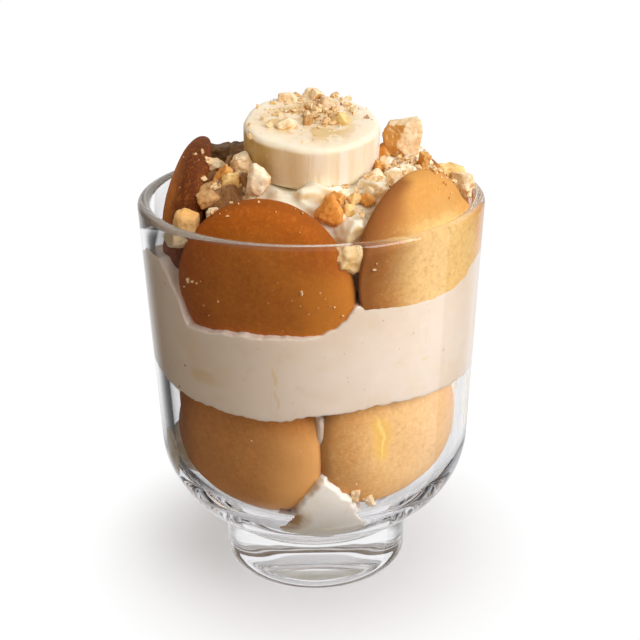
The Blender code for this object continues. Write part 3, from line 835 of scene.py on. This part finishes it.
def wafer(name, radius, seed, mat):
    """A domed round wafer with a flatter back, wavy all over."""
    points = []
    for i in range(46):
        angle = math.pi / 2 * (1 - i / 46)
        points.append((radius * math.cos(angle), WAFER_DOME * math.sin(angle)))
    for i in range(19):
        angle = -math.pi / 2 * i / 18
        across = radius * max(0.0, math.cos(angle)) ** 0.42
        points.append((across, -WAFER_BACK * abs(math.sin(angle)) ** 0.8))
    points[0] = (0.0, WAFER_DOME)
    points[-1] = (radius * 0.28, -WAFER_BACK)
    points.append((0.0, -WAFER_BACK))
    obj = new_object(name, lathe_mesh(name, points, 170), mat)
    pick = random.Random(seed)
    turns = [pick.uniform(0, 2 * math.pi) for _ in range(3)]
    offset = Vector([pick.uniform(0, 50) for _ in range(3)])
    for vert in obj.data.vertices:
        x, y, z = vert.co / MM
        around = math.atan2(y, x)
        share = math.hypot(x, y) / radius
        stretch = 1 + share * (
            0.010 * math.cos(2 * around + turns[0])
            + 0.006 * math.cos(3 * around + turns[1])
            + 0.004 * math.cos(5 * around + turns[2])
        )
        swell = 0.35 * noise.noise(Vector((x, y, 0)) / 9 + offset)
        swell += 0.05 * noise.noise(Vector((x, y, z)) / 2.2 + offset)
        swell += 0.03 * noise.noise(Vector((x, y, z)) / 0.9 + offset)
        edge = smoothstep(0.8, 1.0, share)
        stretch += 0.004 * edge * noise.noise(Vector((x, y, z)) / 1.6 + offset)
        swell *= z / WAFER_DOME if z > 0 else 0.3
        vert.co = Vector((x * stretch, y * stretch, z + swell)) * MM
    return obj


def standing(azimuth, height, lean, inset, turn):
    """Where a wafer stands: its place in metres and its rotation."""
    out = math.radians(azimuth)
    r = inner_radius(height) - WAFER_DOME - inset
    place = Vector((r * math.sin(out), -r * math.cos(out), height)) * MM
    return place, (math.radians(90 + lean), 0.0, out + math.radians(turn))


def press_to_wall(obj, azimuth, width, height, tall):
    """Softens a wafer against the glass: near one place its skin is pushed out to the wall."""
    for vert in obj.data.vertices:
        x, y, z = vert.co / MM
        r = math.hypot(x, y)
        limit = inner_radius(z) + 0.1
        share = between(azimuth_of(x, y), azimuth, width)
        share *= math.cos(min(1.0, abs(z - height) / tall) * math.pi / 2) ** 0.7
        share *= smoothstep(-5.4, -2.0, r - limit) * smoothstep(98.0, 92.0, z)
        if share > 0:
            vert.co = at_radius(x, y, z, r + (limit - r) * min(1.0, share * 2.2))


# Broken bits


def broken_mesh(name, size, seed):
    """A block whose corners are sliced off along seeded planes, in metres."""
    pick = random.Random(seed)
    bm = bmesh.new()
    bmesh.ops.create_cube(bm, size=1.0)
    for _ in range(7):
        normal = Vector([pick.gauss(0, 1) for _ in range(3)]).normalized()
        geometry = list(bm.verts) + list(bm.edges) + list(bm.faces)
        cut = bmesh.ops.bisect_plane(
            bm,
            geom=geometry,
            plane_co=normal * pick.uniform(0.46, 0.60),
            plane_no=normal,
            clear_outer=True,
        )
        rim = [e for e in cut["geom_cut"] if isinstance(e, bmesh.types.BMEdge)]
        if rim:
            bmesh.ops.contextual_create(bm, geom=rim)
    bmesh.ops.remove_doubles(bm, verts=bm.verts, dist=0.02)
    bmesh.ops.recalc_face_normals(bm, faces=bm.faces)
    low = [min(v.co[i] for v in bm.verts) for i in range(3)]
    high = [max(v.co[i] for v in bm.verts) for i in range(3)]
    for vert in bm.verts:
        shares = [(c - a) / (b - a) - 0.5 for c, a, b in zip(vert.co, low, high)]
        vert.co = Vector([share * s * MM for share, s in zip(shares, size)])
    return mesh_from(bm, name)


def outline_mesh(name, outline, depth):
    """A broken flat piece: its outline of (x, z) in millimetres, smaller at front and back."""
    bm = bmesh.new()
    verts = []
    for y, share in ((-0.5, 0.72), (-0.16, 1.0), (0.16, 1.0), (0.5, 0.8)):
        verts += [bm.verts.new(Vector((x * share, y * depth, z * share)) * MM) for x, z in outline]
    wrap(bm, verts)
    return mesh_from(bm, name)


def crumbly(name, place, size, seed, angles, mat, detail=0.30, jag=0.8, outline=None):
    """The same broken block with rounded arrises, a crumbled surface and pits."""
    shape = outline_mesh(name, outline, size[1]) if outline else broken_mesh(name, size, seed)
    obj = new_object(name, shape, mat)
    soft = obj.modifiers.new("Round", "BEVEL")
    soft.width = min(size) * 0.045 * MM
    soft.segments = 2
    soft.limit_method = "ANGLE"
    even_out(obj, detail)
    realise(obj)
    reach = min(size) * 0.5

    def move(point, normal):
        deep = jag * rough(point, reach, seed * 1.3) * 0.55
        pits = -0.30 * max(0.0, wiggle(point, 0.8, seed) - 0.05)
        return normal * (deep * 0.8 + pits)

    displace(obj, move)
    obj.location = Vector(place) * MM
    obj.rotation_euler = [math.radians(a) for a in angles]
    bake(obj)
    keep_inside(obj, 0.2)
    obj.data.shade_smooth()
    return obj


# name, place, size in millimetres, seed, angles in degrees
CHUNKS = (
    ("chunk_right", (21.2, -2.2, 110.2), (8.8, 6.4, 8.2), 11, (8, -10, 12)),
    ("chunk_rim_left", (-27.6, -21.6, 95.0), (6.4, 4.6, 8.4), 23, (0, 0, 0)),
    ("chunk_notch", (8.1, -34.2, 91.6), (7.2, 3.4, 6.0), 31, (0, 0, 12)),
    ("chunk_orange", (3.6, -26.2, 99.9), (6.0, 3.8, 7.0), 47, (0, 0, 8)),
    ("chunk_white", (-11.6, -19.6, 105.1), (5.2, 5.0, 7.6), 53, (0, 0, 6)),
)
# Outlines seen from the front, (across, up) in millimetres from the middle of the piece.
OUTLINES = {
    "chunk_rim_left": (
        (-2.0, 4.2), (-0.5, 4.6), (2.8, 3.4), (3.2, 0.5), (2.2, -1.5), (0.5, -3.9), (-2.5, -4.2),
        (-4.2, -2.2), (-3.2, -0.2), (-2.6, 1.8),
    ),
    "chunk_notch": (
        (-1.1, 2.8), (2.5, 2.6), (3.7, 0.9), (2.5, -1.7), (0.4, -2.8), (-1.1, -2.1), (-3.4, -0.9),
        (-3.8, 0.9), (-2.5, 1.9),
    ),
    "chunk_orange": (
        (0.9, 4.1), (2.0, 2.6), (3.0, 0.4), (3.3, -0.6), (2.6, -3.6), (1.2, -3.4), (-1.7, -2.0),
        (-3.3, -1.0), (-2.6, 0.2), (-1.4, 1.6), (-0.4, 3.4),
    ),
    "chunk_white": (
        (-1.0, 3.9), (1.3, 2.7), (2.8, 0.9), (2.6, -1.1), (1.0, -2.8), (-0.5, -3.7), (-2.4, -2.6),
        (-2.6, -1.1), (-1.8, 1.5), (-1.6, 3.0),
    ),
}
# Lumps under the cream's skin: place, size.
LUMPS = (
    ((19.6, -6.0, 101.6), (12, 13, 9.5)),
    ((14.6, -15.6, 99.8), (10, 9, 8)),
    ((22.6, 2.6, 101.0), (11, 12, 9)),
    ((8.8, -27.2, 94.6), (8.4, 7, 9.4)),
    ((-17.6, -14.6, 99.4), (11, 10, 8.5)),
    ((-20.6, -4.0, 100.4), (9, 12, 9)),
    ((2.0, -18.8, 100.2), (14, 7, 7)),
    ((-4.0, 17.6, 101.0), (20, 10, 8)),
    ((-20.0, 12.0, 99.6), (12, 12, 8.4)),
    ((30.4, -1.2, 93.6), (9, 9, 13)),
)
# Smaller bits on the cream: place, size, look.
BITS = (
    ((-17.8, -16.2, 103.3), (3.8, 3.0, 5.4), "yellow"),
    ((-19.6, -13.6, 104.8), (2.8, 2.4, 4.4), "amber"),
    ((-15.5, -10.8, 106.4), (4.8, 3.8, 4.2), "pale"),
    ((-22.4, -6.5, 105.3), (2.8, 3.0, 6.0), "pale"),
    ((-14.8, -15.0, 103.9), (3.2, 2.6, 3.2), "brown"),
    ((-22.8, -16.6, 100.9), (5.0, 3.6, 6.2), "toasted"),
    ((25.4, -8.4, 104.6), (2.2, 3.2, 6.4), "amber"),
    ((24.8, -10.6, 101.0), (6.2, 4.4, 3.6), "toasted"),
    ((10.6, -26.2, 98.2), (1.6, 1.8, 5.0), "pale"),
    ((5.6, -22.0, 101.4), (3.2, 3.0, 3.0), "amber"),
    ((14.4, -13.6, 103.6), (3.2, 3.0, 3.0), "pale"),
    ((32.6, 0.2, 100.8), (6.4, 4.2, 4.2), "yellow"),
    ((35.6, -3.2, 98.8), (4.4, 4.6, 5.4), "pale"),
    ((-21.8, -22.4, 98.6), (2.8, 2.4, 2.8), "pale"),
    ((-18.4, -18.8, 100.4), (6.0, 3.6, 5.0), "brown"),
    ((-21.0, 5.0, 103.4), (8.0, 6.0, 6.4), "shaded"),
    ((-15.8, 6.0, 103.4), (7.0, 6.0, 7.4), "shaded"),
    ((12.4, -19.8, 100.4), (3.4, 2.8, 2.8), "amber"),
    ((9.4, -21.4, 101.2), (2.4, 2.4, 2.2), "yellow"),
    ((16.8, -1.5, 106.6), (2.8, 3.0, 6.2), "amber"),
    ((15.8, -9.6, 104.6), (3.2, 2.4, 2.2), "amber"),
    ((-22.6, -11.0, 103.0), (3.4, 3.0, 4.6), "brown"),
    ((-17.6, -5.0, 105.0), (5.0, 4.0, 3.6), "brown"),
    ((8.0, -23.0, 98.4), (4.0, 3.0, 3.0), "yellow"),
    ((8.8, -32.8, 33.8), (2.8, 2.0, 1.9), "pale"),
    ((12.4, -30.4, 30.6), (3.0, 2.0, 1.7), "pale"),
    ((-7.2, -31.6, 28.4), (3.2, 2.0, 2.0), "brown"),
    ((18.6, -14.0, 102.6), (3.4, 3.0, 2.6), "pale"),
    ((22.0, -12.6, 102.2), (3.0, 3.0, 3.0), "yellow"),
    ((13.6, -17.8, 101.6), (2.8, 2.6, 2.6), "pale"),
)
# Bits that stand as they are written down; the others are turned by their number.
UPRIGHT = {
    "cream_bit_7": (4, 12, 20), "cream_bit_12": (0, 8, 30), "cream_bit_13": (0, 12, 50),
    "cream_bit_16": (0, 0, 0), "cream_bit_17": (0, 0, 0),
}
# A large dark bit behind the slice: place, size, angles.
SHADED_BIT = ((-18.6, 16.0, 99.0), (15, 11, 8.6), (6, 8, 20))
BANANA_BITS = (
    ((-5.2, 6.6, 117.0), (4.2, 3.8, 3.8), "pale"),
    ((0.8, 8.6, 117.6), (3.4, 3.2, 3.8), "pale"),
    ((-5.5, -7.2, 114.0), (4.0, 3.6, 4.6), "pale"),
    ((6.8, -5.0, 114.0), (4.2, 3.6, 3.4), "yellow"),
    ((3.8, 3.4, 116.2), (4.2, 3.8, 4.4), "pale"),
    # painted shadow: this flat toasted bit stands for a thin dark line of shade on the slice
    ((-0.6, -6.0, 113.8), (5.0, 2.2, 1.5), "toasted"),
    ((13.2, -2.4, 113.6), (2.8, 2.8, 3.6), "toasted"),
    ((-8.6, 4.6, 116.0), (2.6, 2.4, 2.0), "yellow"),
    ((-9.8, -8.6, 112.6), (1.6, 1.4, 1.4), "amber"),
)


# Cream and banana


# The mound's outline: radius, height.
CREAM_PROFILE = (
    (0.0, 102.6), (9, 102.5), (15, 102.3), (20, 101.4), (24, 99.6), (27, 97.0), (29.3, 93.5),
    (30.6, 89.5), (31, 85.5), (30.4, 82.6), (27, 82.0), (16, 82.0), (0.0, 82.0),
)


def make_cream():
    """Heaped cream: the mound and its lumps made one soft skin, then folded and pulled."""
    mesh = lathe_mesh("cream_soft", resample(CREAM_PROFILE, 2.0), 90)
    colour, streak = (1.0, 0.95, 0.79), (0.97, 0.83, 0.52)
    mat = pudding_material("cream_look", colour, streak, 3.0, 0.2, 0.28, painted_cream_shade=True)
    obj = new_object("cream_soft", mesh, mat)
    bm = bmesh.new()
    bm.from_mesh(mesh)
    for seed, (place, size) in enumerate(LUMPS, 1):
        offset = Vector([c * seed for c in (3.7, 1.9, 0.6)])
        made = bmesh.ops.create_icosphere(bm, subdivisions=4, radius=1.0)
        for vert in made["verts"]:
            vert.co *= 1 + 0.18 * noise.noise(vert.co * 1.6 + offset)
            point = Vector([c * s / 2 for c, s in zip(vert.co, size)]) + Vector(place)
            vert.co = point * MM
    bm.to_mesh(mesh)
    bm.free()
    even_out(obj, 0.5)
    relax = obj.modifiers.new("Relax", "SMOOTH")
    relax.factor = 0.5
    relax.iterations = 6
    realise(obj)

    def move(point, normal):
        if point.z < 83.5:
            return Vector((0, 0, 0))
        bent = point + 1.5 * Vector((wiggle(point, 4.0, 1.0), wiggle(point, 4.0, 2.0), 0.0))
        ridge = 1 - min(1.0, abs(wiggle(bent, 7.5, 3.1)) * 2.0)
        peak = 1 - min(1.0, abs(wiggle(bent, 3.2, 6.4)) * 2.4)
        right = smoothstep(4.0, 16.0, point.x)
        fine = 0.08 * wiggle(point, 0.9, 8.3)
        return normal * (1.3 * ridge**2 + (0.2 + 0.9 * right) * peak**2 - 0.6 + fine)

    displace(obj, move)
    keep_inside(obj, 0.5)
    obj.data.shade_smooth()
    return obj


def make_banana():
    """A thick round slice, a little uneven, ribbed at its side and sunk in its middle."""
    h = BANANA_THICK / 2
    edge = 1.3
    points = [(0.0, h)] + [(BANANA_RADIUS * i / 26, h) for i in range(1, 23)]
    points += arc((BANANA_RADIUS - edge, h - edge), edge, 90, 0, 6)
    points += [(BANANA_RADIUS, h - edge - (2 * h - 2 * edge) * i / 20) for i in range(1, 20)]
    points += arc((BANANA_RADIUS - edge, edge - h), edge, 0, -90, 6)
    points += [(BANANA_RADIUS * i / 8, -h) for i in range(7, 0, -1)] + [(0.0, -h)]
    mesh = lathe_mesh("banana_slice_soft", points, 240)
    obj = new_object("banana_slice_soft", mesh, banana_material())
    for vert in obj.data.vertices:
        x, y, z = vert.co / MM
        around = math.atan2(y, x)
        r = math.hypot(x, y) / BANANA_RADIUS
        stretch = 1 + 0.016 * math.cos(2 * around + 0.4) + 0.012 * math.cos(5 * around + 1.0)
        stretch += 0.006 * math.cos(9 * around + 2.0 + z * 0.1) - 0.02 * max(0.0, -z / BANANA_THICK)
        rib = 0.007 * noise.noise(Vector((math.cos(around) * 7, math.sin(around) * 7, z * 0.04)))
        rib += 0.003 * noise.noise(Vector((math.cos(around) * 21, math.sin(around) * 21, z * 0.08)))
        stretch += rib * smoothstep(0.7, 1.0, r)
        if z > 0:
            z += 0.14 * wiggle((x, y, 0), 2.2, 3) + 0.30 * wiggle((x, y, 0), 6.5, 8)
            z -= 0.35 * math.exp(-((r / 0.3) ** 2))
        vert.co = Vector((x * stretch, y * stretch, z)) * MM
    obj.location = Vector(BANANA_PLACE) * MM
    obj.rotation_euler = (BANANA_TILT, BANANA_ROLL, 0.0)
    return bake(obj)


# Scattered crumbs


def tree_of(objects):
    """One search tree over the world-space meshes of several objects."""
    verts, faces = [], []
    bpy.context.view_layer.update()
    for obj in objects:
        start = len(verts)
        world = obj.matrix_world
        verts += [world @ v.co for v in obj.data.vertices]
        faces += [[start + i for i in f.vertices] for f in obj.data.polygons]
    return BVHTree.FromPolygons(verts, faces)


def grain(bm, place, normal, size, pick):
    """A small angular crumb, partly set into what it lies on."""
    shape = Vector([pick.uniform(0.6, 1.15) for _ in range(3)])
    centre = place + normal * size * MM * 0.25
    verts = []
    for _ in range(9 if size < 0.9 else 14):
        way = Vector([pick.gauss(0, 1) for _ in range(3)]).normalized()
        point = Vector([c * s for c, s in zip(way, shape)]) * pick.uniform(0.75, 1.0)
        verts.append(bm.verts.new(centre + point * size * 0.5 * MM))
    wrap(bm, verts)


def crumbs_object(name, mat, spots):
    """One piece of crumbs; spots are rows of place, normal, size, random."""
    bm = bmesh.new()
    for spot in spots:
        grain(bm, *spot)
    return new_object(name, mesh_from(bm, name), mat, smooth=False)


def first_hit(tree, start, way):
    """The first surface met on the way, as (place, normal)."""
    hit = tree.ray_cast(start, way)
    return (hit[0], hit[1]) if hit[0] is not None else None


# piece: rows of seed, number, centre, spread, sizes and the height that they stay below
SCATTERS = {
    "crumbs_pale": (
        (1, 170, (1.5, 1.5), (4.8, 4.0), (0.5, 2.4)),
        (2, 60, (0.0, -3.0), (8.0, 6.0), (0.3, 1.0)),
        (3, 230, (25.0, -11.5), (3.0, 2.6), (0.4, 1.9), 109.0),
        (4, 170, (-19.0, -14.0), (4.0, 5.0), (0.4, 2.2)),
        (5, 150, (14.0, -15.0), (6.5, 5.0), (0.4, 2.4), 109.0),
        (11, 90, (20.0, -9.0), (4.0, 4.5), (0.5, 2.8), 109.0),
        (10, 70, (32.0, 2.0), (4.0, 5.0), (0.4, 2.0)),
    ),
    "crumbs_toasted": (
        (6, 36, (1.0, 0.0), (4.2, 3.8), (0.35, 1.5)),
        (7, 90, (26.0, -10.5), (3.0, 2.6), (0.35, 1.2)),
    ),
}
DROP_FROM = 130.0
LEAST_UP = 0.25
SMALL_OFTEN = 2.2


def scatter(tree, seed, count, centre, spread, sizes, top=DROP_FROM):
    """Crumbs dropped round a centre, small ones most often, on what lies below a height."""
    pick = random.Random(seed)
    low, high = sizes
    for _ in range(count):
        x = pick.gauss(centre[0], spread[0])
        y = pick.gauss(centre[1], spread[1])
        hit = first_hit(tree, Vector((x, y, DROP_FROM)) * MM, Vector((0, 0, -1)))
        if hit is None or hit[1].z < LEAST_UP or hit[0].z > top * MM:
            continue
        size = low + (high - low) * pick.random() ** SMALL_OFTEN
        wall = inner_radius(min(GLASS_HEIGHT, hit[0].z / MM))
        if math.hypot(hit[0].x, hit[0].y) / MM <= wall - size:
            yield hit[0], hit[1], size, pick


# The photograph's view, fitted to the rim, the foot and the outline of the glass.
CAMERA_PLACE = Vector((0, -273.17, 177.37))
CAMERA_LENS = 67.15
SENSOR = 36.0
PICTURE = 640


def camera_axes():
    """Right, up and ahead: 22.6 degrees down, with a trifle of yaw and roll."""
    yaw, pitch, roll = 0.0063, 0.3945, -0.0125
    flat = math.cos(pitch)
    ahead = Vector((math.sin(yaw) * flat, math.cos(yaw) * flat, -math.sin(pitch)))
    right = Vector((math.cos(yaw), -math.sin(yaw), 0))
    up = right.cross(ahead)
    turned = right * math.cos(roll) + up * math.sin(roll)
    return turned, up * math.cos(roll) - right * math.sin(roll), ahead


def along_view(tree, px, py):
    """The first surface that a point of the picture shows, as (place, normal)."""
    right, up, ahead = camera_axes()
    pixel = SENSOR / CAMERA_LENS / PICTURE
    way = ahead + right * (px - PICTURE / 2) * pixel - up * (py - PICTURE / 2) * pixel
    return first_hit(tree, CAMERA_PLACE * MM, way.normalized())


# Single crumbs that show: picture x, picture y, size in millimetres.
SPECKS = (
    (194.5, 278, 1.5), (197.5, 279, 1.0), (201.6, 281, 0.8), (190, 284, 0.7), (186, 285, 0.8),
    (222, 298.6, 0.8), (208, 303, 0.4), (302, 291, 1.3), (320, 290.5, 0.7), (318, 305.7, 0.7),
    (329.7, 304, 0.6), (334, 305, 0.5), (341.5, 312.7, 0.8), (284, 328.7, 0.6), (247, 248, 0.5),
    (218, 242, 0.5), (299.6, 232.5, 0.7), (259, 202.5, 0.8), (295, 209.5, 0.6), (302.5, 213.6, 0.8),
    (220.5, 214, 0.7), (293, 298.6, 0.4), (301, 304, 0.5), (239, 204, 0.6), (309, 312, 0.4),
    (374.5, 262, 0.7), (372, 268, 1.1), (270, 301, 0.4), (213, 313, 0.4), (345, 303, 0.4),
    (254, 438, 0.5), (301, 449, 0.4), (303.5, 453, 0.4), (212.5, 479, 0.5), (355, 480.5, 0.6),
    (305, 498, 0.7), (308, 496, 0.5), (240, 455, 0.3), (230, 437, 0.3), (366, 482, 0.5),
    (370, 447, 0.3), (276, 212, 0.5), (325, 297, 0.4), (205, 279, 0.4), (338, 297, 0.5),
)


def specks(tree):
    """The single crumbs, where the picture shows them, on what lies there."""
    pick = random.Random(44)
    hits = [(along_view(tree, px, py), size) for px, py, size in SPECKS]
    return [(hit[0], hit[1], size, pick) for hit, size in hits if hit]


# Stage, light and camera


def make_stage():
    """A white floor that shows a soft shadow near the foot only, and lights nothing itself."""
    bm = bmesh.new()
    bmesh.ops.create_circle(bm, cap_ends=True, radius=6.0, segments=96)
    g = Graph("floor_look")
    x, y = g.parts(g.object_point())[:2]
    away = g.length(x, y)
    far = g.ramp(away, 0.024, 0.066)
    path = g.node("ShaderNodeLightPath").outputs
    # Scattered light doesn't see the floor, and mirrors in the glass see it dark in front.
    mirrored = g.math("GREATER_THAN", path["Glossy Depth"], 0.5)
    left = g.math("MAXIMUM", g.times(x, -1.4), 0.0)
    front = g.ramp(g.minus(y, left), -0.08, 0.03, 0.92, 0.0)
    front = g.times(g.times(mirrored, front), g.ramp(away, 0.028, 0.055))
    shown = g.math("LESS_THAN", path["Diffuse Depth"], 0.5)
    shown = g.times(shown, g.minus(1.0, front))
    glow = g.add(g.times(far, 0.79), 0.23)
    g.finish(g.mix(far, (0.61, 0.62, 0.65), (0.0, 0.0, 0.0)), 0.8, Specular_IOR_Level=0.0)
    g.feed(g.shader.inputs["Emission Color"], (1.0, 1.0, 1.0))
    g.feed(g.shader.inputs["Emission Strength"], glow)
    hidden = g.node("ShaderNodeEmission")
    g.feed(hidden.inputs["Color"], (1.0, 0.96, 0.90))
    scattered = g.math("GREATER_THAN", path["Diffuse Depth"], 0.5)
    bounce = g.times(scattered, g.ramp(away, 0.05, 0.14, 0.70, 0.0))
    g.feed(hidden.inputs["Strength"], bounce)
    g.choose(shown, hidden, g.shader)
    g.mat.cycles.emission_sampling = "NONE"
    obj = new_object("floor", mesh_from(bm, "floor"), g.mat, smooth=False)
    obj.location = (0, 0, -0.00005)
    obj.visible_diffuse = False
    obj.visible_glossy = False


def area(name, place, aim, size, energy, colour):
    """A square light that looks at a point."""
    light = bpy.data.lights.new(name, "AREA")
    light.shape = "RECTANGLE"
    light.size = light.size_y = size
    light.energy = energy
    light.color = colour
    obj = bpy.data.objects.new(name, light)
    bpy.context.scene.collection.objects.link(obj)
    obj.location = place
    obj.rotation_euler = (Vector(aim) - Vector(place)).to_track_quat("-Z", "Y").to_euler()
    return obj


def make_light():
    """One big soft light from the right, a pale room behind and above, a dim warm one in front."""
    world = bpy.data.worlds.new("studio")
    bpy.context.scene.world = world
    g = Graph("studio", world)
    x, y, z = g.parts(g.node("ShaderNodeTexCoord").outputs["Generated"])
    path = g.node("ShaderNodeLightPath").outputs
    lit = g.add(g.ramp(x, -0.2, 0.9, 0.0, 0.22), g.ramp(y, -0.1, 0.9, 0.0, 0.20))
    lit = g.add(lit, g.add(g.ramp(z, 0.1, 0.95, 0.0, 0.62), g.ramp(z, -0.05, -0.7, 0.0, 0.95)))
    room = g.mix(lit, (0.225, 0.138, 0.066), (1.0, 0.985, 0.955))
    room = g.mix(g.ramp(z, -0.25, -0.85), room, (2.5, 2.42, 2.30))
    # What the glass mirrors: darkness in front, a tall white card at the right, a pale wall behind.
    round_to = g.math("ARCTAN2", x, g.times(y, -1.0))
    card = g.ramp(round_to, 0.70, 1.60, 0.0, 0.9)
    card = g.times(card, g.ramp(round_to, 1.78, 1.74, 0.0, 1.0, "LINEAR"))
    wall = g.times(g.ramp(y, 0.05, 0.7, 0.0, 0.85), g.ramp(x, -0.72, -0.40))
    wall = g.times(wall, g.ramp(x, 0.82, 0.45))
    wall = g.add(wall, g.ramp(z, 0.2, 0.7, 0.0, 0.7))
    mirror = g.mix(g.add(card, wall), (0.03, 0.025, 0.02), (1.0, 1.0, 1.0))
    # Light that comes to the food through the glass is counted once: most of it here, the
    # rest by the shadow rays that the glass lets pass.
    scattered = g.math("GREATER_THAN", path["Diffuse Depth"], 0.5)
    mirrored = g.math("GREATER_THAN", path["Glossy Depth"], 0.5)
    through = g.mix(mirrored, (0.80, 0.80, 0.83), mirror)
    through = g.mix(scattered, through, g.mix(0.8, (0.0, 0.0, 0.0), room))
    colour = g.mix(path["Is Glossy Ray"], room, mirror)
    colour = g.mix(path["Is Transmission Ray"], colour, through)
    colour = g.mix(path["Is Camera Ray"], colour, (1.0, 1.0, 1.0))
    g.link(colour, g.tree.nodes["Background"].inputs["Color"])
    key = area("key", (0.67, -0.47, 0.57), (0, 0, 0.07), 0.60, 6.9, (1.0, 0.98, 0.96))
    fill = area("fill", (-0.16, -0.55, 0.02), (0, 0, 0.03), 0.40, 0.90, (1.0, 0.83, 0.62))
    fill.visible_glossy = False
    for light in (key, fill):
        light.visible_transmission = False


def make_camera():
    right, up, ahead = camera_axes()
    data = bpy.data.cameras.new("camera")
    data.lens = CAMERA_LENS
    data.sensor_width = SENSOR
    data.clip_start = 0.01
    obj = bpy.data.objects.new("camera", data)
    bpy.context.scene.collection.objects.link(obj)
    turn = Matrix((right, up, -ahead)).transposed().to_4x4()
    obj.matrix_world = Matrix.Translation(CAMERA_PLACE * MM) @ turn
    bpy.context.scene.camera = obj


# The whole


def piece(obj, slot, *nodes):
    """Puts a piece on the part's one body, in place of any nodes that it dresses; its slot is not
    used.
    """
    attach(obj, "root")
    for node in nodes:
        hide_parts(node)
    return obj


def make_wafers():
    wafers = {}
    for ring, rows, first_seed in (("upper", UPPER, 11), ("lower", LOWER, 21)):
        for i, row in enumerate(rows):
            azimuth, height, lean, radius, inset, turn, middle, edge, dark = row
            node = f"wafer_{ring}_{i + 1}"
            seed = first_seed + i
            placing = standing(azimuth, height, lean, inset, turn)
            sides = (dark, LIGHT_ON_RIGHT.get(node, 0.0), SHADE_ON_TOP.get(node, 0.0))
            crack = CRACKS.get(node)
            look = f"{node}_look"
            mat = wafer_material(look, radius, middle, edge, seed, placing, sides, crack)
            obj = wafer(f"{node}_baked", radius, seed, mat)
            obj.location, obj.rotation_euler = placing
            bake(obj)
            if node in PRESSED:
                press_to_wall(obj, *PRESSED[node])
            wafers[node] = piece(obj, "wafer", node)
    return wafers


def make_bits(looks):
    for name, place, size, seed, angles in CHUNKS:
        outline = OUTLINES.get(name)
        jag = 0.8 if outline else 0.35
        mat = looks[name]
        obj = crumbly(f"{name}_bit", place, size, seed, angles, mat, jag=jag, outline=outline)
        piece(obj, "wafer_bits", name)
    for group, rows, seed, steps in (
        ("cream_bit", BITS, 90, (23, 41, 37)),
        ("slice_bit", BANANA_BITS, 70, (31, 17, 53)),
    ):
        for i, (place, size, look) in enumerate(rows):
            name = f"{group}_{i + 1}"
            angles = UPRIGHT.get(name, tuple(i * step for step in steps))
            detail, jag = (0.4, 1.8) if look == "shaded" else (0.26, 0.8)
            mat = looks[f"bits_{look}"]
            piece(crumbly(name, place, size, seed + i, angles, mat, detail, jag), "wafer_bits")
    place, size, angles = SHADED_BIT
    obj = crumbly("shaded_bit", place, size, 64, angles, looks["bits_shaded"], 0.4, 2.2)
    piece(obj, "wafer_bits")


def make_crumbs(ground, looks):
    for name, rows in SCATTERS.items():
        spots = [spot for row in rows for spot in scatter(ground, *row)]
        if name == "crumbs_pale":
            spots += specks(ground)
        piece(crumbs_object(name, looks[name], spots), "wafer_bits")


def main():
    scene = bpy.context.scene
    scene.view_settings.view_transform = "Standard"
    scene.cycles.max_bounces = 32
    scene.cycles.transmission_bounces = 32
    scene.cycles.glossy_bounces = 16
    piece(make_glass(), "clear_glass", "glass")
    piece(make_band(), "pudding", "pudding_band")
    piece(make_base(), "pudding", "pudding_base")
    cream = piece(make_cream(), "cream", "cream_top")
    banana = piece(make_banana(), "banana", "banana_slice")
    wafers = make_wafers()
    looks = {name: crumb_material(f"{name}_look", *row) for name, row in CRUMB_LOOKS.items()}
    make_bits(looks)
    make_crumbs(tree_of([cream, banana, *wafers.values()]), looks)
    make_stage()
    make_light()
    make_camera()


main()
